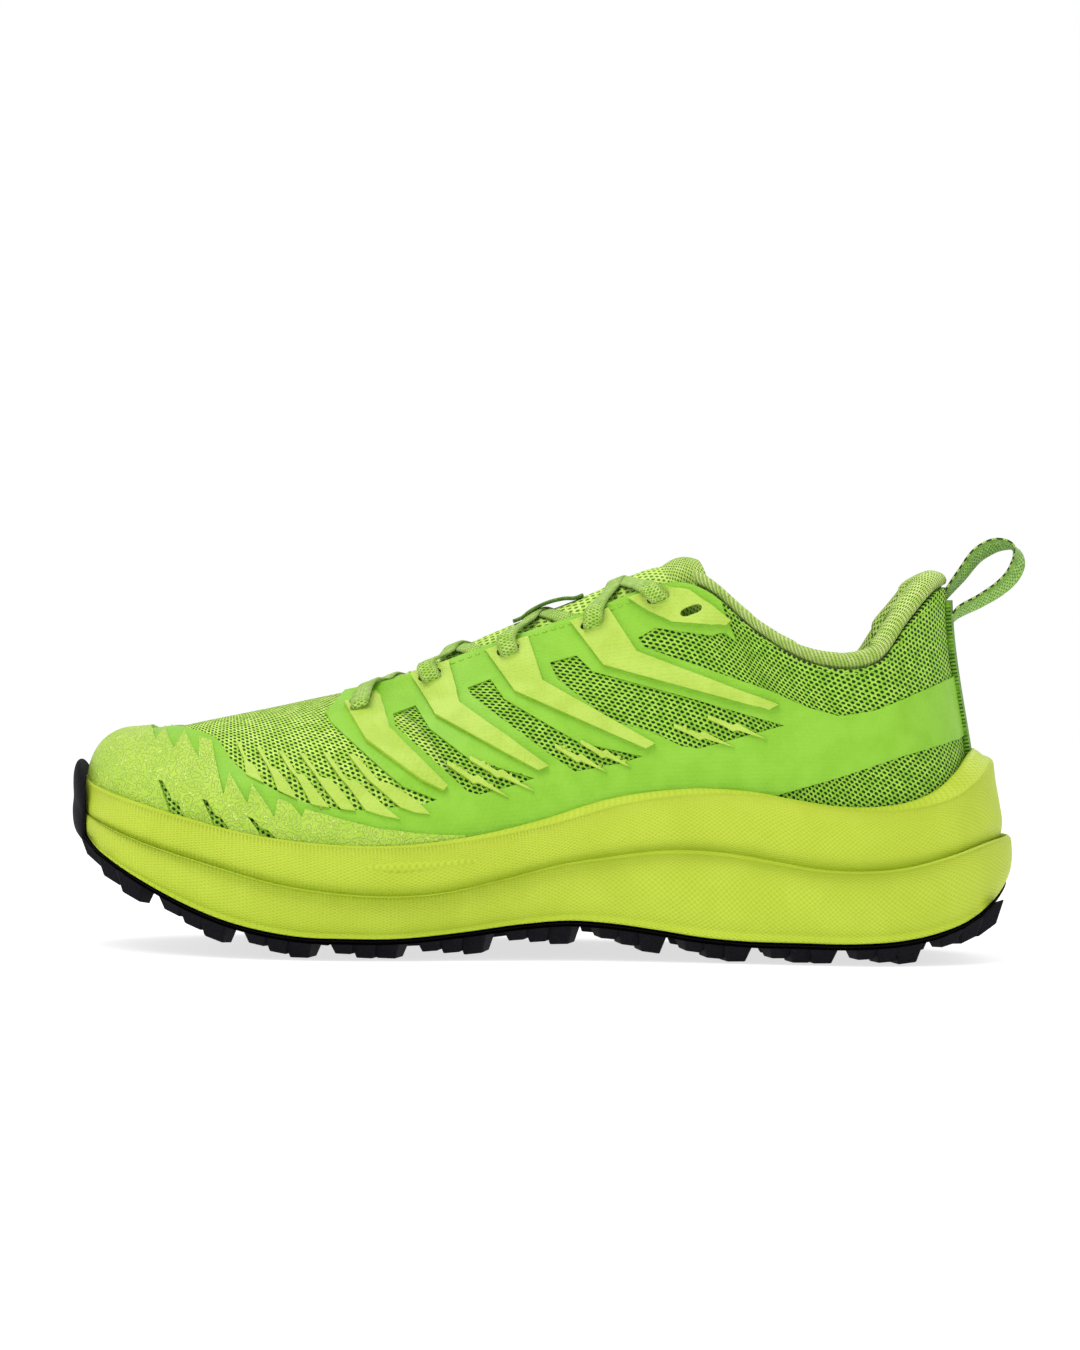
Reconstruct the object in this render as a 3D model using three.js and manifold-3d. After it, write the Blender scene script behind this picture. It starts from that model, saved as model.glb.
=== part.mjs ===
// Trail running shoe for the right foot, built as the layers of a real one: outsole, two foam midsole
// layers, lasting board, insole, mesh upper, bonded film, moulded ribs, padding, lining, tongue and lace.
// Millimetres, +Z up, toe towards -X, inner (medial) side of the foot towards -Y. The ground is Z = 0.
import * as THREE from "three";
import { mergeVertices } from "three/addons/utils/BufferGeometryUtils.js";
import Module from "manifold-3d";

const wasm = await Module();
wasm.setup();

// ---------------------------------------------------------------- driving dimensions
const GAP = 0.3; // clearance between touching pieces
const MESH = 1.4; // thickness of the knitted mesh
const FILM = 0.7; // thickness of the bonded film
const RIB = 1.3; // height of the moulded ribs above the film
const CAP = 1.1; // thickness of the textured toe cap
const STIFFENER = 1.2; // toe puff and heel counter
const FACING = 0.8; // reinforcement behind the lace slots
const LINING = 1.0;
const PADDING = 4.6; // collar foam
const BOARD = 1.5; // lasting board under the insole
const INSOLE = 4.5;
const OUTSOLE_BASE = 1.7; // rubber between the lugs
const TREAD = 4.7; // rubber base and lug together
const LACE_WIDTH = 6.2;
const LACE_THICK = 1.2;
const WEBBING_WIDTH = 12;
const WEBBING_THICK = 1.5;
const FAR = 90; // reaches past either side of the shoe

// Stations run from the toe tip (0) along one side to the middle of the heel (19).
const LAST_STATION = 19;
const LOOP = 2 * LAST_STATION;
const THROAT = 7; // station where the tongue opening starts
// foot = edge of the upper on the footbed, sole = widest line of the midsole, top = ridge, throat or
// collar edge, gap = half the opening, rim = top edge of the midsole; y values are [medial, lateral].
const STATIONS = [
  { foot: [-142.5, -5, -5], sole: [-146.5, -5, -5], top: [-130, 67.5], mid: -5, gap: 0, arch: 1, bulge: 2.6, rim: [53, 53] },
  { foot: [-138.5, -19, 8.5], sole: [-143, -23, 12], top: [-125, 68], mid: -5, gap: 0, arch: 1, bulge: 2.6, rim: [50.5, 50.5] },
  { foot: [-128.5, -30.5, 21], sole: [-132, -38, 28], top: [-117, 69.2], mid: -5, gap: 0, arch: 1, bulge: 2.6, rim: [47, 47] },
  { foot: [-111, -40, 33], sole: [-112.5, -49, 42], top: [-107, 71.6], mid: -5, gap: 0, arch: 1, bulge: 2.5, rim: [42, 41.5] },
  { foot: [-90, -45.5, 43], sole: [-88.5, -54, 52], top: [-96, 74], mid: -5, gap: 0, arch: 1, bulge: 3, rim: [37, 36] },
  { foot: [-68, -47, 48], sole: [-64.5, -54.5, 57], top: [-85, 76.4], mid: -5, gap: 0, arch: 1, bulge: 3, rim: [34.3, 33] },
  { foot: [-46, -45, 50], sole: [-41, -50.5, 57.5], top: [-74, 79], mid: -5, gap: 0, arch: 1, bulge: 3, rim: [34.1, 32.5] },
  { foot: [-24, -40, 49], sole: [-18, -45, 55.5], top: [-63, 81.5], mid: -5, gap: 0, arch: 0.95, bulge: 3, rim: [36.8, 33.5] },
  { foot: [-2, -36, 46], sole: [5, -41, 52.5], top: [-43, 87], mid: -3.5, gap: 10.5, arch: 0.85, bulge: 2.5, rim: [41.8, 37] },
  { foot: [21, -33.5, 42.5], sole: [28, -39.5, 50], top: [-16, 97.5], mid: -2.3, gap: 15.2, arch: 0.7, bulge: 2, rim: [48.6, 42] },
  { foot: [43, -33.5, 40], sole: [51, -40.5, 48], top: [12, 107.5], mid: -1.2, gap: 19.2, arch: 0.5, bulge: 2, rim: [51.8, 45.5] },
  { foot: [61, -34.5, 38.5], sole: [69, -42, 47], top: [36, 117], mid: -0.5, gap: 24, arch: 0.35, bulge: 2, rim: [51.6, 46.5] },
  { foot: [76, -36, 38], sole: [83, -43, 46.5], top: [50, 115], mid: 0, gap: 28.5, arch: 0.25, bulge: 2, rim: [49.5, 46] },
  { foot: [89, -36.5, 37.5], sole: [96, -43.5, 45.5], top: [65, 102.5], mid: 0, gap: 32, arch: 0.2, bulge: 2, rim: [47.8, 46] },
  { foot: [101, -36, 36.5], sole: [108.5, -42, 43.5], top: [79, 94], mid: 0, gap: 34.5, arch: 0.15, bulge: 2, rim: [47.6, 47] },
  { foot: [112.5, -33.5, 33.5], sole: [120.5, -38.5, 39.5], top: [93, 91], mid: 0, gap: 35, arch: 0.1, bulge: 2, rim: [49, 48.5] },
  { foot: [123, -28.5, 28.5], sole: [131.5, -32.5, 33], top: [105, 94], mid: 0, gap: 32.5, arch: 0.05, bulge: 1.5, rim: [52.5, 52.5] },
  { foot: [131.5, -20.5, 20.5], sole: [141, -23.5, 23.5], top: [113.5, 105], mid: 0, gap: 26.5, arch: 0, bulge: 1, rim: [58, 58] },
  { foot: [136, -10.5, 10.5], sole: [148, -12, 12], top: [122.5, 115], mid: 0, gap: 16, arch: 0, bulge: 0.5, rim: [63, 63] },
  { foot: [138.5, 0, 0], sole: [150.5, 0, 0], top: [128.3, 118], mid: 0, gap: 0, arch: 0, bulge: 0, rim: [64.5, 64.5] },
];
const COLLAR_DROP = { 13: 2, 14: 3, 15: 3.5, 16: 3, 17: 1.5 }; // the outer ankle sits lower

// Heights along the shoe, as [x, z].
const FOOTBED = [[-146, 45], [-130, 38], [-110, 31.5], [-90, 27.5], [-65, 25], [-35, 25.2], [-5, 27.5], [30, 31], [70, 33], [110, 34], [150, 35]];
const GROOVE = [[-147, 43], [-129, 36], [-99, 27.2], [-80, 22.3], [-60, 19.6], [-45, 19], [-30, 20.2], [-11, 24.6], [6, 29], [20, 31.3], [40, 33.6], [57, 33], [71, 31], [86, 28.8], [97, 28.4], [112, 29.6], [127, 33.2], [142, 37.6], [151, 39]];
const UNDERSIDE = [[-147, 39], [-139, 31.5], [-132, 27.2], [-119, 20.2], [-109, 15.4], [-96, 10.2], [-85, 7.2], [-72, 5], [-60, 4.7], [-45, 4.7], [-25, 7.2], [-6, 10.6], [10, 12], [20, 11.4], [36, 8.8], [50, 6.4], [62, 5], [80, 4.7], [98, 4.7], [112, 6.2], [123, 8.8], [136, 14.2], [143, 19.5], [151, 27]];

// ---------------------------------------------------------------- small maths
const lerp = (a, b, t) => a + (b - a) * t;
const smooth = (t) => t * t * (3 - 2 * t);
const clamp = (v, low, high) => Math.min(high, Math.max(low, v));

// Cubic through four neighbouring values.
function cubic(a, b, c, d, t) {
  const slopeB = (c - a) / 2;
  const slopeC = (d - b) / 2;
  const rise = c - b;
  return b + slopeB * t + (3 * rise - 2 * slopeB - slopeC) * t * t + (slopeB + slopeC - 2 * rise) * t ** 3;
}

// A value that varies along x, smooth between [x, value] pairs.
function along(pairs, x) {
  let i = pairs.findIndex(([px]) => px > x);
  if (i === 0) return pairs[0][1];
  if (i < 0) return pairs.at(-1)[1];
  const [[x0, v0], [x1, v1]] = [pairs[i - 1], pairs[i]];
  const slope = (j) => {
    const [a, b] = [pairs[Math.max(j - 1, 0)], pairs[Math.min(j + 1, pairs.length - 1)]];
    return (b[1] - a[1]) / (b[0] - a[0]);
  };
  const h = x1 - x0;
  const t = (x - x0) / h;
  const [s0, s1] = [slope(i - 1) * h, slope(i) * h];
  return v0 + s0 * t + (3 * (v1 - v0) - 2 * s0 - s1) * t * t + (s0 + s1 - 2 * (v1 - v0)) * t ** 3;
}

// The loop goes toe - medial - heel - lateral - toe, so place p and place LOOP - p are opposite each other.
const wrap = (p) => ((p % LOOP) + LOOP) % LOOP;
const isMedial = (p) => wrap(p) <= LAST_STATION;
const stationOf = (p) => (isMedial(p) ? wrap(p) : LOOP - wrap(p));

// Interpolates a per-station value round the loop; read(station, side index, station number).
function round(p, read) {
  const i = Math.floor(wrap(p));
  const at = (j) => {
    const k = stationOf(j);
    return read(STATIONS[k], isMedial(j) ? 0 : 1, k);
  };
  return cubic(at(i - 1), at(i), at(i + 1), at(i + 2), wrap(p) - i);
}

// Half the tongue and collar opening, linear between stations.
function openingAt(k) {
  const i = Math.min(Math.floor(k), LAST_STATION - 1);
  return lerp(STATIONS[i].gap, STATIONS[i + 1].gap, k - i);
}

const footPoint = (p) => {
  const x = round(p, (s) => s.foot[0]);
  return new THREE.Vector3(x, round(p, (s, side) => s.foot[1 + side]), along(FOOTBED, x) + GAP);
};
const solePoint = (p) => new THREE.Vector2(round(p, (s) => s.sole[0]), round(p, (s, side) => s.sole[1 + side]));
const rimHeight = (p) => round(p, (s, side) => s.rim[side]);

const topPoint = (p) => {
  const side = isMedial(p) ? -1 : 1;
  return new THREE.Vector3(
    round(p, (s) => s.top[0]),
    round(p, (s) => s.mid) + side * openingAt(stationOf(p)),
    round(p, (s, sideIndex, k) => s.top[1] - (sideIndex ? (COLLAR_DROP[k] ?? 0) : 0)),
  );
};

// The outer face of the mesh upper: place p round the shoe, t from footbed (0) to top edge (1).
function skin(p, t) {
  const foot = footPoint(p);
  const top = topPoint(p);
  const arch = round(p, (s) => s.arch);
  const quarter = (Math.PI / 2) * t;
  const across = lerp(smooth(t), 1 - Math.cos(quarter), arch);
  const up = lerp(t, Math.sin(quarter), arch);
  const out = new THREE.Vector2(foot.x - top.x, foot.y - top.y).normalize();
  const swell = round(p, (s) => s.bulge) * Math.sin(Math.PI * t);
  return new THREE.Vector3(
    lerp(foot.x, top.x, across) + out.x * swell,
    lerp(foot.y, top.y, across) + out.y * swell,
    lerp(foot.z, top.z, up),
  );
}

function rawNormal(p, t) {
  const step = 0.02;
  const alongLoop = skin(p + step, t).sub(skin(p - step, t));
  const alongRise = skin(p, Math.min(t + step, 1)).sub(skin(p, t - step));
  return alongLoop.cross(alongRise);
}

// Outward normal; on the ridge in front of the throat both sides share one.
function normalAt(p, t) {
  const n = rawNormal(p, t);
  if (stationOf(p) <= THROAT && t > 0.999) {
    n.copy(rawNormal(p, 0.97).normalize()).add(rawNormal(LOOP - p, 0.97).normalize());
  }
  return n.normalize();
}

// A point on a layer: offset outwards, and lifted past the top edge along the wall.
function layerPoint(p, t, offset, lift = 0) {
  const point = skin(p, t).addScaledVector(normalAt(p, t), offset);
  if (lift) point.addScaledVector(skin(p, 1).sub(skin(p, 0.96)).normalize(), lift);
  return point;
}

// ---------------------------------------------------------------- solids
// A solid from points and triangles, turned the right way out; triangles that use a point twice are dropped.
function solid(points, faces) {
  const kept = faces.filter(([a, b, c]) => a !== b && b !== c && c !== a);
  const build = (list) =>
    new wasm.Manifold(
      new wasm.Mesh({
        numProp: 3,
        vertProperties: new Float32Array(points.flatMap((point) => point.toArray())),
        triVerts: new Uint32Array(list.flat()),
      }),
    );
  const made = build(kept);
  return made.volume() > 0 ? made : build(kept.map(([a, b, c]) => [a, c, b]));
}

function fromGeometry(geometry) {
  const bare = geometry.index ? geometry.toNonIndexed() : geometry.clone();
  for (const name of Object.keys(bare.attributes)) if (name !== "position") bare.deleteAttribute(name);
  const merged = mergeVertices(bare, 1e-3);
  const index = [];
  for (let i = 0; i < merged.index.count; i += 3) {
    const [a, b, c] = [0, 1, 2].map((j) => merged.index.getX(i + j));
    if (a !== b && b !== c && c !== a) index.push(a, b, c);
  }
  return new wasm.Manifold(
    new wasm.Mesh({ numProp: 3, vertProperties: merged.attributes.position.array, triVerts: new Uint32Array(index) }),
  );
}

// Joins rows of equal length into a closed skin; each row is a closed loop of points.
function loft(rows) {
  const count = rows[0].length;
  const points = rows.flat();
  const faces = [];
  for (let i = 0; i < rows.length - 1; i++) {
    for (let j = 0; j < count; j++) {
      const [a, b] = [i * count + j, i * count + ((j + 1) % count)];
      const [c, d] = [a + count, b + count];
      faces.push([a, c, d], [a, d, b]);
    }
  }
  for (let j = 1; j < count - 1; j++) {
    const end = (rows.length - 1) * count;
    faces.push([0, j, j + 1], [end, end + j + 1, end + j]);
  }
  return solid(points, faces);
}

// Places from one end to the other, on the grid that every layer shares.
function places(from, to, step = 1) {
  const inner = [];
  for (let p = Math.ceil(from / step + 0.1) * step; p < to - 0.1 * step; p += step) inner.push(p);
  return [from, ...inner, to];
}

const RISES = [0, 0.12, 0.28, 0.46, 0.64, 0.82, 0.93, 1];
const rises = (from, to) => [from, ...RISES.filter((t) => t > from + 0.01 && t < to - 0.01), to];

// One layer of the upper between two offsets from the skin. Where it runs round the toe, both sides
// meet on the ridge in front of the throat, so a row and its mirror row share their last point.
function layer(from, to, low, high, inner, outer) {
  const ps = places(from, to);
  const ts = rises(low, high);
  const [rows, cols] = [ps.length, ts.length];
  const points = [outer, inner].flatMap((offset) => ps.flatMap((p) => ts.map((t) => layerPoint(p, t, offset))));
  const onRidge = (i, j) => high === 1 && j === cols - 1 && from < 0 && Math.abs(ps[i]) <= THROAT;
  const at = (side, i, j) => side * rows * cols + (onRidge(i, j) ? Math.min(i, rows - 1 - i) : i) * cols + j;
  const faces = [];
  const quad = (a, b, c, d) => faces.push([a, b, c], [a, c, d]);
  for (let i = 0; i < rows - 1; i++) {
    for (let j = 0; j < cols - 1; j++) {
      quad(at(0, i, j), at(0, i + 1, j), at(0, i + 1, j + 1), at(0, i, j + 1));
      quad(at(1, i, j), at(1, i, j + 1), at(1, i + 1, j + 1), at(1, i + 1, j));
    }
    quad(at(0, i, 0), at(1, i, 0), at(1, i + 1, 0), at(0, i + 1, 0));
    if (!onRidge(i, cols - 1) || !onRidge(i + 1, cols - 1)) {
      quad(at(0, i, cols - 1), at(0, i + 1, cols - 1), at(1, i + 1, cols - 1), at(1, i, cols - 1));
    }
  }
  for (let j = 0; j < cols - 1; j++) {
    quad(at(0, 0, j), at(0, 0, j + 1), at(1, 0, j + 1), at(1, 0, j));
    quad(at(0, rows - 1, j), at(1, rows - 1, j), at(1, rows - 1, j + 1), at(0, rows - 1, j + 1));
  }
  return solid(points, faces);
}

// A prism through the shoe whose outline is drawn in the side view, as [x, z] points.
function sidePrism(outline, nearY, farY) {
  const shape = new THREE.Shape(outline.map(([x, z]) => new THREE.Vector2(x, z)));
  const depth = Math.abs(farY - nearY);
  const geometry = new THREE.ExtrudeGeometry(shape, { depth, bevelEnabled: false });
  geometry.rotateX(Math.PI / 2);
  geometry.translate(0, Math.max(nearY, farY), 0);
  return fromGeometry(geometry);
}
const MEDIAL = [-FAR, -7];
const LATERAL = [1, FAR];
const bothSides = (make) => [make("medial", MEDIAL), make("lateral", LATERAL)];

// Stacked rings on the sole's outline, closed by strips across the shoe at the bottom and the top.
// Each ring is { spread, height } as functions of the place: spread 0 is the foot line, 1 the sole line.
function stack(rings, centreLow, centreHigh) {
  const ps = places(0, LOOP).slice(0, -1);
  const n = ps.length;
  const points = rings.flatMap(({ spread, height }) =>
    ps.map((p) => {
      const plan = solePoint(p).lerp(new THREE.Vector2(footPoint(p).x, footPoint(p).y), 1 - spread(p));
      return new THREE.Vector3(plan.x, plan.y, height(p, plan.x));
    }),
  );
  const faces = [];
  for (let r = 0; r < rings.length - 1; r++) {
    for (let i = 0; i < n; i++) {
      const [a, b] = [r * n + i, r * n + ((i + 1) % n)];
      faces.push([a, a + n, b + n], [a, b + n, b]);
    }
  }
  const cap = (first, centre, flip) => {
    const middles = [first];
    for (let i = 1; i < n / 2; i++) {
      const middle = points[first + i].clone().lerp(points[first + n - i], 0.5);
      middle.z = centre(middle.x, middle.z);
      middles.push(points.push(middle) - 1);
    }
    middles.push(first + n / 2);
    for (let i = 0; i < n / 2; i++) {
      const [m0, m1, c0, c1] = [first + i, first + i + 1, middles[i], middles[i + 1]];
      const [l0, l1] = [first + ((n - i) % n), first + n - i - 1];
      const sides = [[m0, m1, c1], [m0, c1, c0], [c0, c1, l1], [c0, l1, l0]];
      faces.push(...(flip ? sides.map(([a, b, c]) => [a, c, b]) : sides));
    }
  };
  cap(0, centreLow, false);
  cap((rings.length - 1) * n, centreHigh, true);
  return solid(points, faces);
}

const flat = (value) => () => value;
// A spread that changes towards the back of the heel, where the upper foam leans in.
const leaning = (value, atHeel) => (p) => lerp(value, atHeel, clamp((stationOf(p) - 16) / 3, 0, 1));
const underside = (x) => along(UNDERSIDE, x);
const groove = (x) => along(GROOVE, x);
const footbed = (x) => along(FOOTBED, x);
const partingMiddle = (x) => underside(x) + 0.5 * (footbed(x) - underside(x));

// ---------------------------------------------------------------- sole
// The space that the lasted upper fills, a little larger than the upper itself.
function lastedSpace() {
  const clear = (p) => 2 * GAP + (stationOf(p) < THROAT + 1 ? FILM + GAP + CAP + GAP : FILM + GAP);
  const ps = places(0, LOOP).slice(0, -1);
  const ts = [...RISES];
  const n = ps.length;
  const points = ts.flatMap((t) => ps.map((p) => layerPoint(p, t, clear(p)).setComponent(2, Math.max(layerPoint(p, t, clear(p)).z, skin(p, t).z))));
  for (let i = 0; i < n; i++) points[i].z = footbed(points[i].x);
  const faces = [];
  for (let r = 0; r < ts.length - 1; r++) {
    for (let i = 0; i < n; i++) {
      const [a, b] = [r * n + i, r * n + ((i + 1) % n)];
      faces.push([a, a + n, b + n], [a, b + n, b]);
    }
  }
  for (const [first, flip] of [[0, false], [(ts.length - 1) * n, true]]) {
    for (let i = 0; i < n / 2; i++) {
      const [m0, m1, l0, l1] = [first + i, first + i + 1, first + ((n - i) % n), first + n - i - 1];
      const strip = [[m0, m1, l1], [m0, l1, l0]];
      faces.push(...(flip ? strip.map(([a, b, c]) => [a, c, b]) : strip));
    }
  }
  return solid(points, faces);
}

function midsoleLower() {
  const rise = (share) => (p, x) => lerp(underside(x), groove(x), share);
  return stack(
    [
      { spread: flat(0.8), height: rise(0) },
      { spread: flat(0.93), height: rise(0.12) },
      { spread: flat(1), height: rise(0.45) },
      { spread: flat(0.98), height: rise(0.86) },
      { spread: flat(0.84), height: rise(1) },
    ],
    (x) => underside(x),
    (x) => partingMiddle(x),
  );
}

function midsoleUpper() {
  const rise = (share) => (p, x) => lerp(groove(x) + GAP, rimHeight(p), share);
  return stack(
    [
      { spread: leaning(0.7, 0.66), height: rise(0) },
      { spread: leaning(0.86, 0.74), height: rise(0.14) },
      { spread: leaning(0.82, 0.62), height: rise(0.5) },
      { spread: leaning(0.74, 0.5), height: rise(0.88) },
      { spread: leaning(0.6, 0.42), height: rise(1) },
    ],
    (x) => partingMiddle(x) + GAP,
    (x, z) => z,
  ).subtract(lastedSpace());
}

// Rubber lugs: rows of angled blocks across the forefoot and heel, smaller bars under the arch.
function lug(x, y, length, width, turn) {
  const base = underside(x) - OUTSOLE_BASE + 0.5;
  const corners = (scale, shift) =>
    [[-1, -1], [1, -1], [1, 1], [-1, 1]].map(([a, b]) => {
      const [u, v] = [(a * length * scale) / 2 + shift, (b * width * scale) / 2];
      const px = x + u * Math.cos(turn) - v * Math.sin(turn);
      const py = y + u * Math.sin(turn) + v * Math.cos(turn);
      const lowest = scale < 1 ? Math.max(underside(px) - TREAD, 0) : base + (underside(px) - underside(x));
      return new THREE.Vector3(px, py, lowest);
    });
  return loft([corners(0.74, 0), corners(1.05, 0)]);
}

const LUG_PITCH = 14.5;
function lugs() {
  const made = [];
  for (let row = 0; row < 19; row++) {
    const x = -129 + row * LUG_PITCH;
    const at = STATIONS.findIndex((s) => s.sole[0] > x);
    const t = (x - STATIONS[at - 1].sole[0]) / (STATIONS[at].sole[0] - STATIONS[at - 1].sole[0]);
    const [medial, lateral] = [1, 2].map((i) => lerp(STATIONS[at - 1].sole[i], STATIONS[at].sole[i], t));
    const arch = x > -12 && x < 38;
    const shares = row % 2 ? [0.1, 0.36, 0.64, 0.9] : [0.13, 0.5, 0.87];
    for (const share of shares) {
      const y = lerp(medial + 4, lateral - 4, share);
      const outer = share < 0.2 || share > 0.8;
      const turn = (share - 0.5) * 0.7 * (x < 20 ? 1 : -1);
      made.push(lug(x, y, arch ? 8 : 9.5, outer ? 13 : 11.5, turn));
    }
  }
  return made;
}

const toeShare = (p) => clamp(1.7 - stationOf(p), 0, 1);
function outsole() {
  const edge = (share) => (p) => lerp(share, 1.3, toeShare(p));
  const base = stack(
    [
      { spread: edge(0.74), height: (p, x) => underside(x) - OUTSOLE_BASE },
      { spread: edge(0.84), height: (p, x) => underside(x) - 3 * GAP },
      { spread: edge(0.84), height: (p, x) => underside(x) - 2 * GAP },
    ],
    (x) => underside(x) - OUTSOLE_BASE,
    (x) => underside(x) - 2 * GAP,
  );
  return lugs().reduce((sum, block) => sum.add(block), base).add(toeBumper());
}

// The rubber that wraps up over the front of the midsole, thicker and taller in the middle.
const BUMPER_REACH = 1;
const BUMPER_FACE = [[34.5, 2.3], [39, 3.4], [45.2, 3.4], [51.6, 3], [56, 2.7], [58.3, 1.9]];
function toeBumper() {
  const rows = places(-BUMPER_REACH, BUMPER_REACH, 0.25).map((p) => {
    const fade = Math.sqrt(1 - (p / BUMPER_REACH) ** 2 * 0.96);
    const wall = solePoint(p);
    const away = new THREE.Vector2(wall.x + 105, wall.y + 5).normalize();
    const low = along(UNDERSIDE, wall.x) - OUTSOLE_BASE;
    const at = (z, out) => {
      const height = low + (z - BUMPER_FACE[0][0]) * lerp(0.55, 1, fade);
      return new THREE.Vector3(wall.x + away.x * out, wall.y + away.y * out, height);
    };
    return [
      ...BUMPER_FACE.map(([z, out]) => at(z, GAP + (out - GAP) * fade + 0.4)),
      ...BUMPER_FACE.toReversed().map(([z]) => at(z, GAP)),
    ];
  });
  return loft(rows);
}

function board(low, high, spreadIn) {
  const ps = { low: (p, x) => footbed(x) + low, high: (p, x) => footbed(x) + high };
  return stack(
    [
      { spread: spreadIn, height: ps.low },
      { spread: spreadIn, height: ps.high },
    ],
    (x) => footbed(x) + low,
    (x) => footbed(x) + high,
  );
}
// A negative spread lies inside the foot line: this one keeps a set distance from it.
const inside = (distance) => (p) => {
  const foot = footPoint(p);
  return -distance / Math.max(solePoint(p).distanceTo(new THREE.Vector2(foot.x, foot.y)), 1);
};

// ---------------------------------------------------------------- upper
const SEAM = 0.03; // half the gap between neighbouring panels, in stations
const frontEnd = THROAT - SEAM;
const quarterEnds = { medial: [THROAT + SEAM, LAST_STATION - SEAM], lateral: [LAST_STATION + SEAM, LOOP - THROAT - SEAM] };

// Lace slots as [x, z] in side view, from the toe up; the last one stays empty.
const SLOTS = [[-57.8, 77.6], [-35.6, 86.3], [-11.3, 94.8], [14.7, 103.7], [35.5, 112.4], [45.8, 108.6]];
const SLOT_LENGTH = 7.4;
const SLOT_HEIGHT = 2.8;
const SLOT_TILT = 0.38;
function slotOutline([x, z], grow = 0) {
  const [along_, up] = [SLOT_LENGTH / 2 + grow, SLOT_HEIGHT / 2 + grow];
  return [[-along_, -up], [along_, -up], [along_, up], [-along_, up]].map(([u, v]) => [
    x + u * Math.cos(SLOT_TILT) - v * Math.sin(SLOT_TILT),
    z + u * Math.sin(SLOT_TILT) + v * Math.cos(SLOT_TILT),
  ]);
}
const cutSlots = (body, sideY, slots = SLOTS) =>
  slots.reduce((left, slot) => left.subtract(sidePrism(slotOutline(slot), ...sideY)), body);

// The windows in the film where the mesh shows, in side view.
const WINDOWS = [
  [[-47.5, 74.3], [-40.4, 77.2], [-35.7, 70.1], [-23.1, 61], [-2.8, 55.5], [-10.5, 52.8], [-19.8, 50.2], [-23.5, 51.1], [-30.8, 57.5], [-46.5, 70.6]],
  [[-24.1, 83.1], [-17, 86], [-12.5, 79.8], [11.3, 66.6], [30.9, 62.9], [24.1, 60.6], [9.9, 57.8], [2.7, 62.4], [-22.5, 80.3]],
  [[1.6, 91.6], [9.9, 93.9], [15, 89], [41.5, 82.3], [74.6, 73.2], [48.3, 65.6], [43.3, 66.2], [32.7, 70.7], [20.5, 73.9], [3.8, 86.6]],
  [[29.2, 99.8], [34.4, 103], [51.9, 100.8], [64.4, 103.4], [80, 120], [150, 120], [150, 95], [128.2, 88.7], [102.2, 78.3], [91.6, 76.5], [81.3, 79.2], [70.9, 83.7], [44.9, 92.3], [31.4, 96.7]],
  [[70.5, 50.9], [91.9, 57.5], [112.7, 64.7], [150, 71], [150, 30], [66, 30]],
  [[-119, 69], [-103.4, 66.9], [-99.7, 63.5], [-96.5, 59.2], [-90.8, 55], [-82.1, 50.5], [-71.5, 46.6], [-54.7, 45.1], [-36.8, 47.2], [-32.8, 48.5], [-43.4, 52.4], [-51.3, 58.8], [-59.5, 65.6], [-66.5, 71.4], [-68.7, 74.5], [-63, 84], [-90, 100], [-119, 90]],
];
// Bars of film that cross the windows, from upper left to lower right.
const BARS = [
  [[-92.5, 65.5], [-76.5, 48]], [[-85, 65], [-66.5, 45.5]], [[-77.5, 64.5], [-57, 44.5]], [[-70, 64], [-44, 43.5]], [[-62.5, 64], [-33, 43.5]],
  [[-30.5, 58.5], [-10, 48.5]], [[-23.5, 59.5], [-2, 50]],
  [[3.5, 63.5], [20, 56]], [[11.5, 64.5], [29, 56.5]],
  [[42, 70.5], [60.5, 63.5]], [[52, 73], [70.5, 67]],
];
const BAR_WIDTH = 2.2;
function barOutline([[x0, z0], [x1, z1]]) {
  const dir = new THREE.Vector2(x1 - x0, z1 - z0).normalize().multiplyScalar(BAR_WIDTH / 2);
  return [[x0 + dir.y, z0 - dir.x], [x1 + dir.y, z1 - dir.x], [x1 - dir.y, z1 + dir.x], [x0 - dir.y, z0 + dir.x]];
}

const FILM_END = LAST_STATION - 0.12; // the film stops beside the back seam
function film() {
  const [inner, outer] = [GAP, GAP + FILM];
  const sheet = layer(-FILM_END, FILM_END, 0.04, 1, inner, outer);
  const open = WINDOWS.reduce((left, outline) => left.subtract(sidePrism(outline, -FAR, FAR)), sheet);
  const bars = BARS.map((bar) => sheet.intersect(sidePrism(barOutline(bar), -FAR, FAR)));
  return cutSlots(bars.reduce((sum, bar) => sum.add(bar), open), [-FAR, FAR]);
}

// The four chevron ribs that carry the lace pull down to the sole, in side view.
const RIBS = [
  [[-62.9, 76.5], [-52.4, 80.6], [-48.5, 69.3], [-29.8, 52.4], [-31.1, 51], [-38.3, 54.3], [-55.3, 65.7]],
  [[-41.6, 86.8], [-29.8, 91], [-26.2, 78], [1.5, 59.1], [-1.6, 57.7], [-33.9, 73.9]],
  [[-18.4, 94.7], [-5.1, 99.4], [-0.5, 85.6], [34.7, 66.8], [31.9, 65.1], [-9.2, 82.1]],
  [[7.9, 104.5], [20, 109], [28.9, 95.4], [73, 79.6], [70, 77.9], [18.4, 90.9]],
];
const EYELET_PATCH = [[25.9, 112.3], [36, 117], [46, 116.2], [59.6, 106.3], [56.4, 104], [39.8, 104.9], [32.2, 108.3]];

function rib(outline, side, sideY, rows = SLOTS) {
  const [from, to] = side === "medial" ? [THROAT, 14] : [LOOP - 14, LOOP - THROAT];
  const inner = GAP + FILM + GAP;
  return cutSlots(layer(from, to, 0.12, 0.985, inner, inner + RIB).intersect(sidePrism(outline, ...sideY)), sideY, rows);
}

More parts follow.
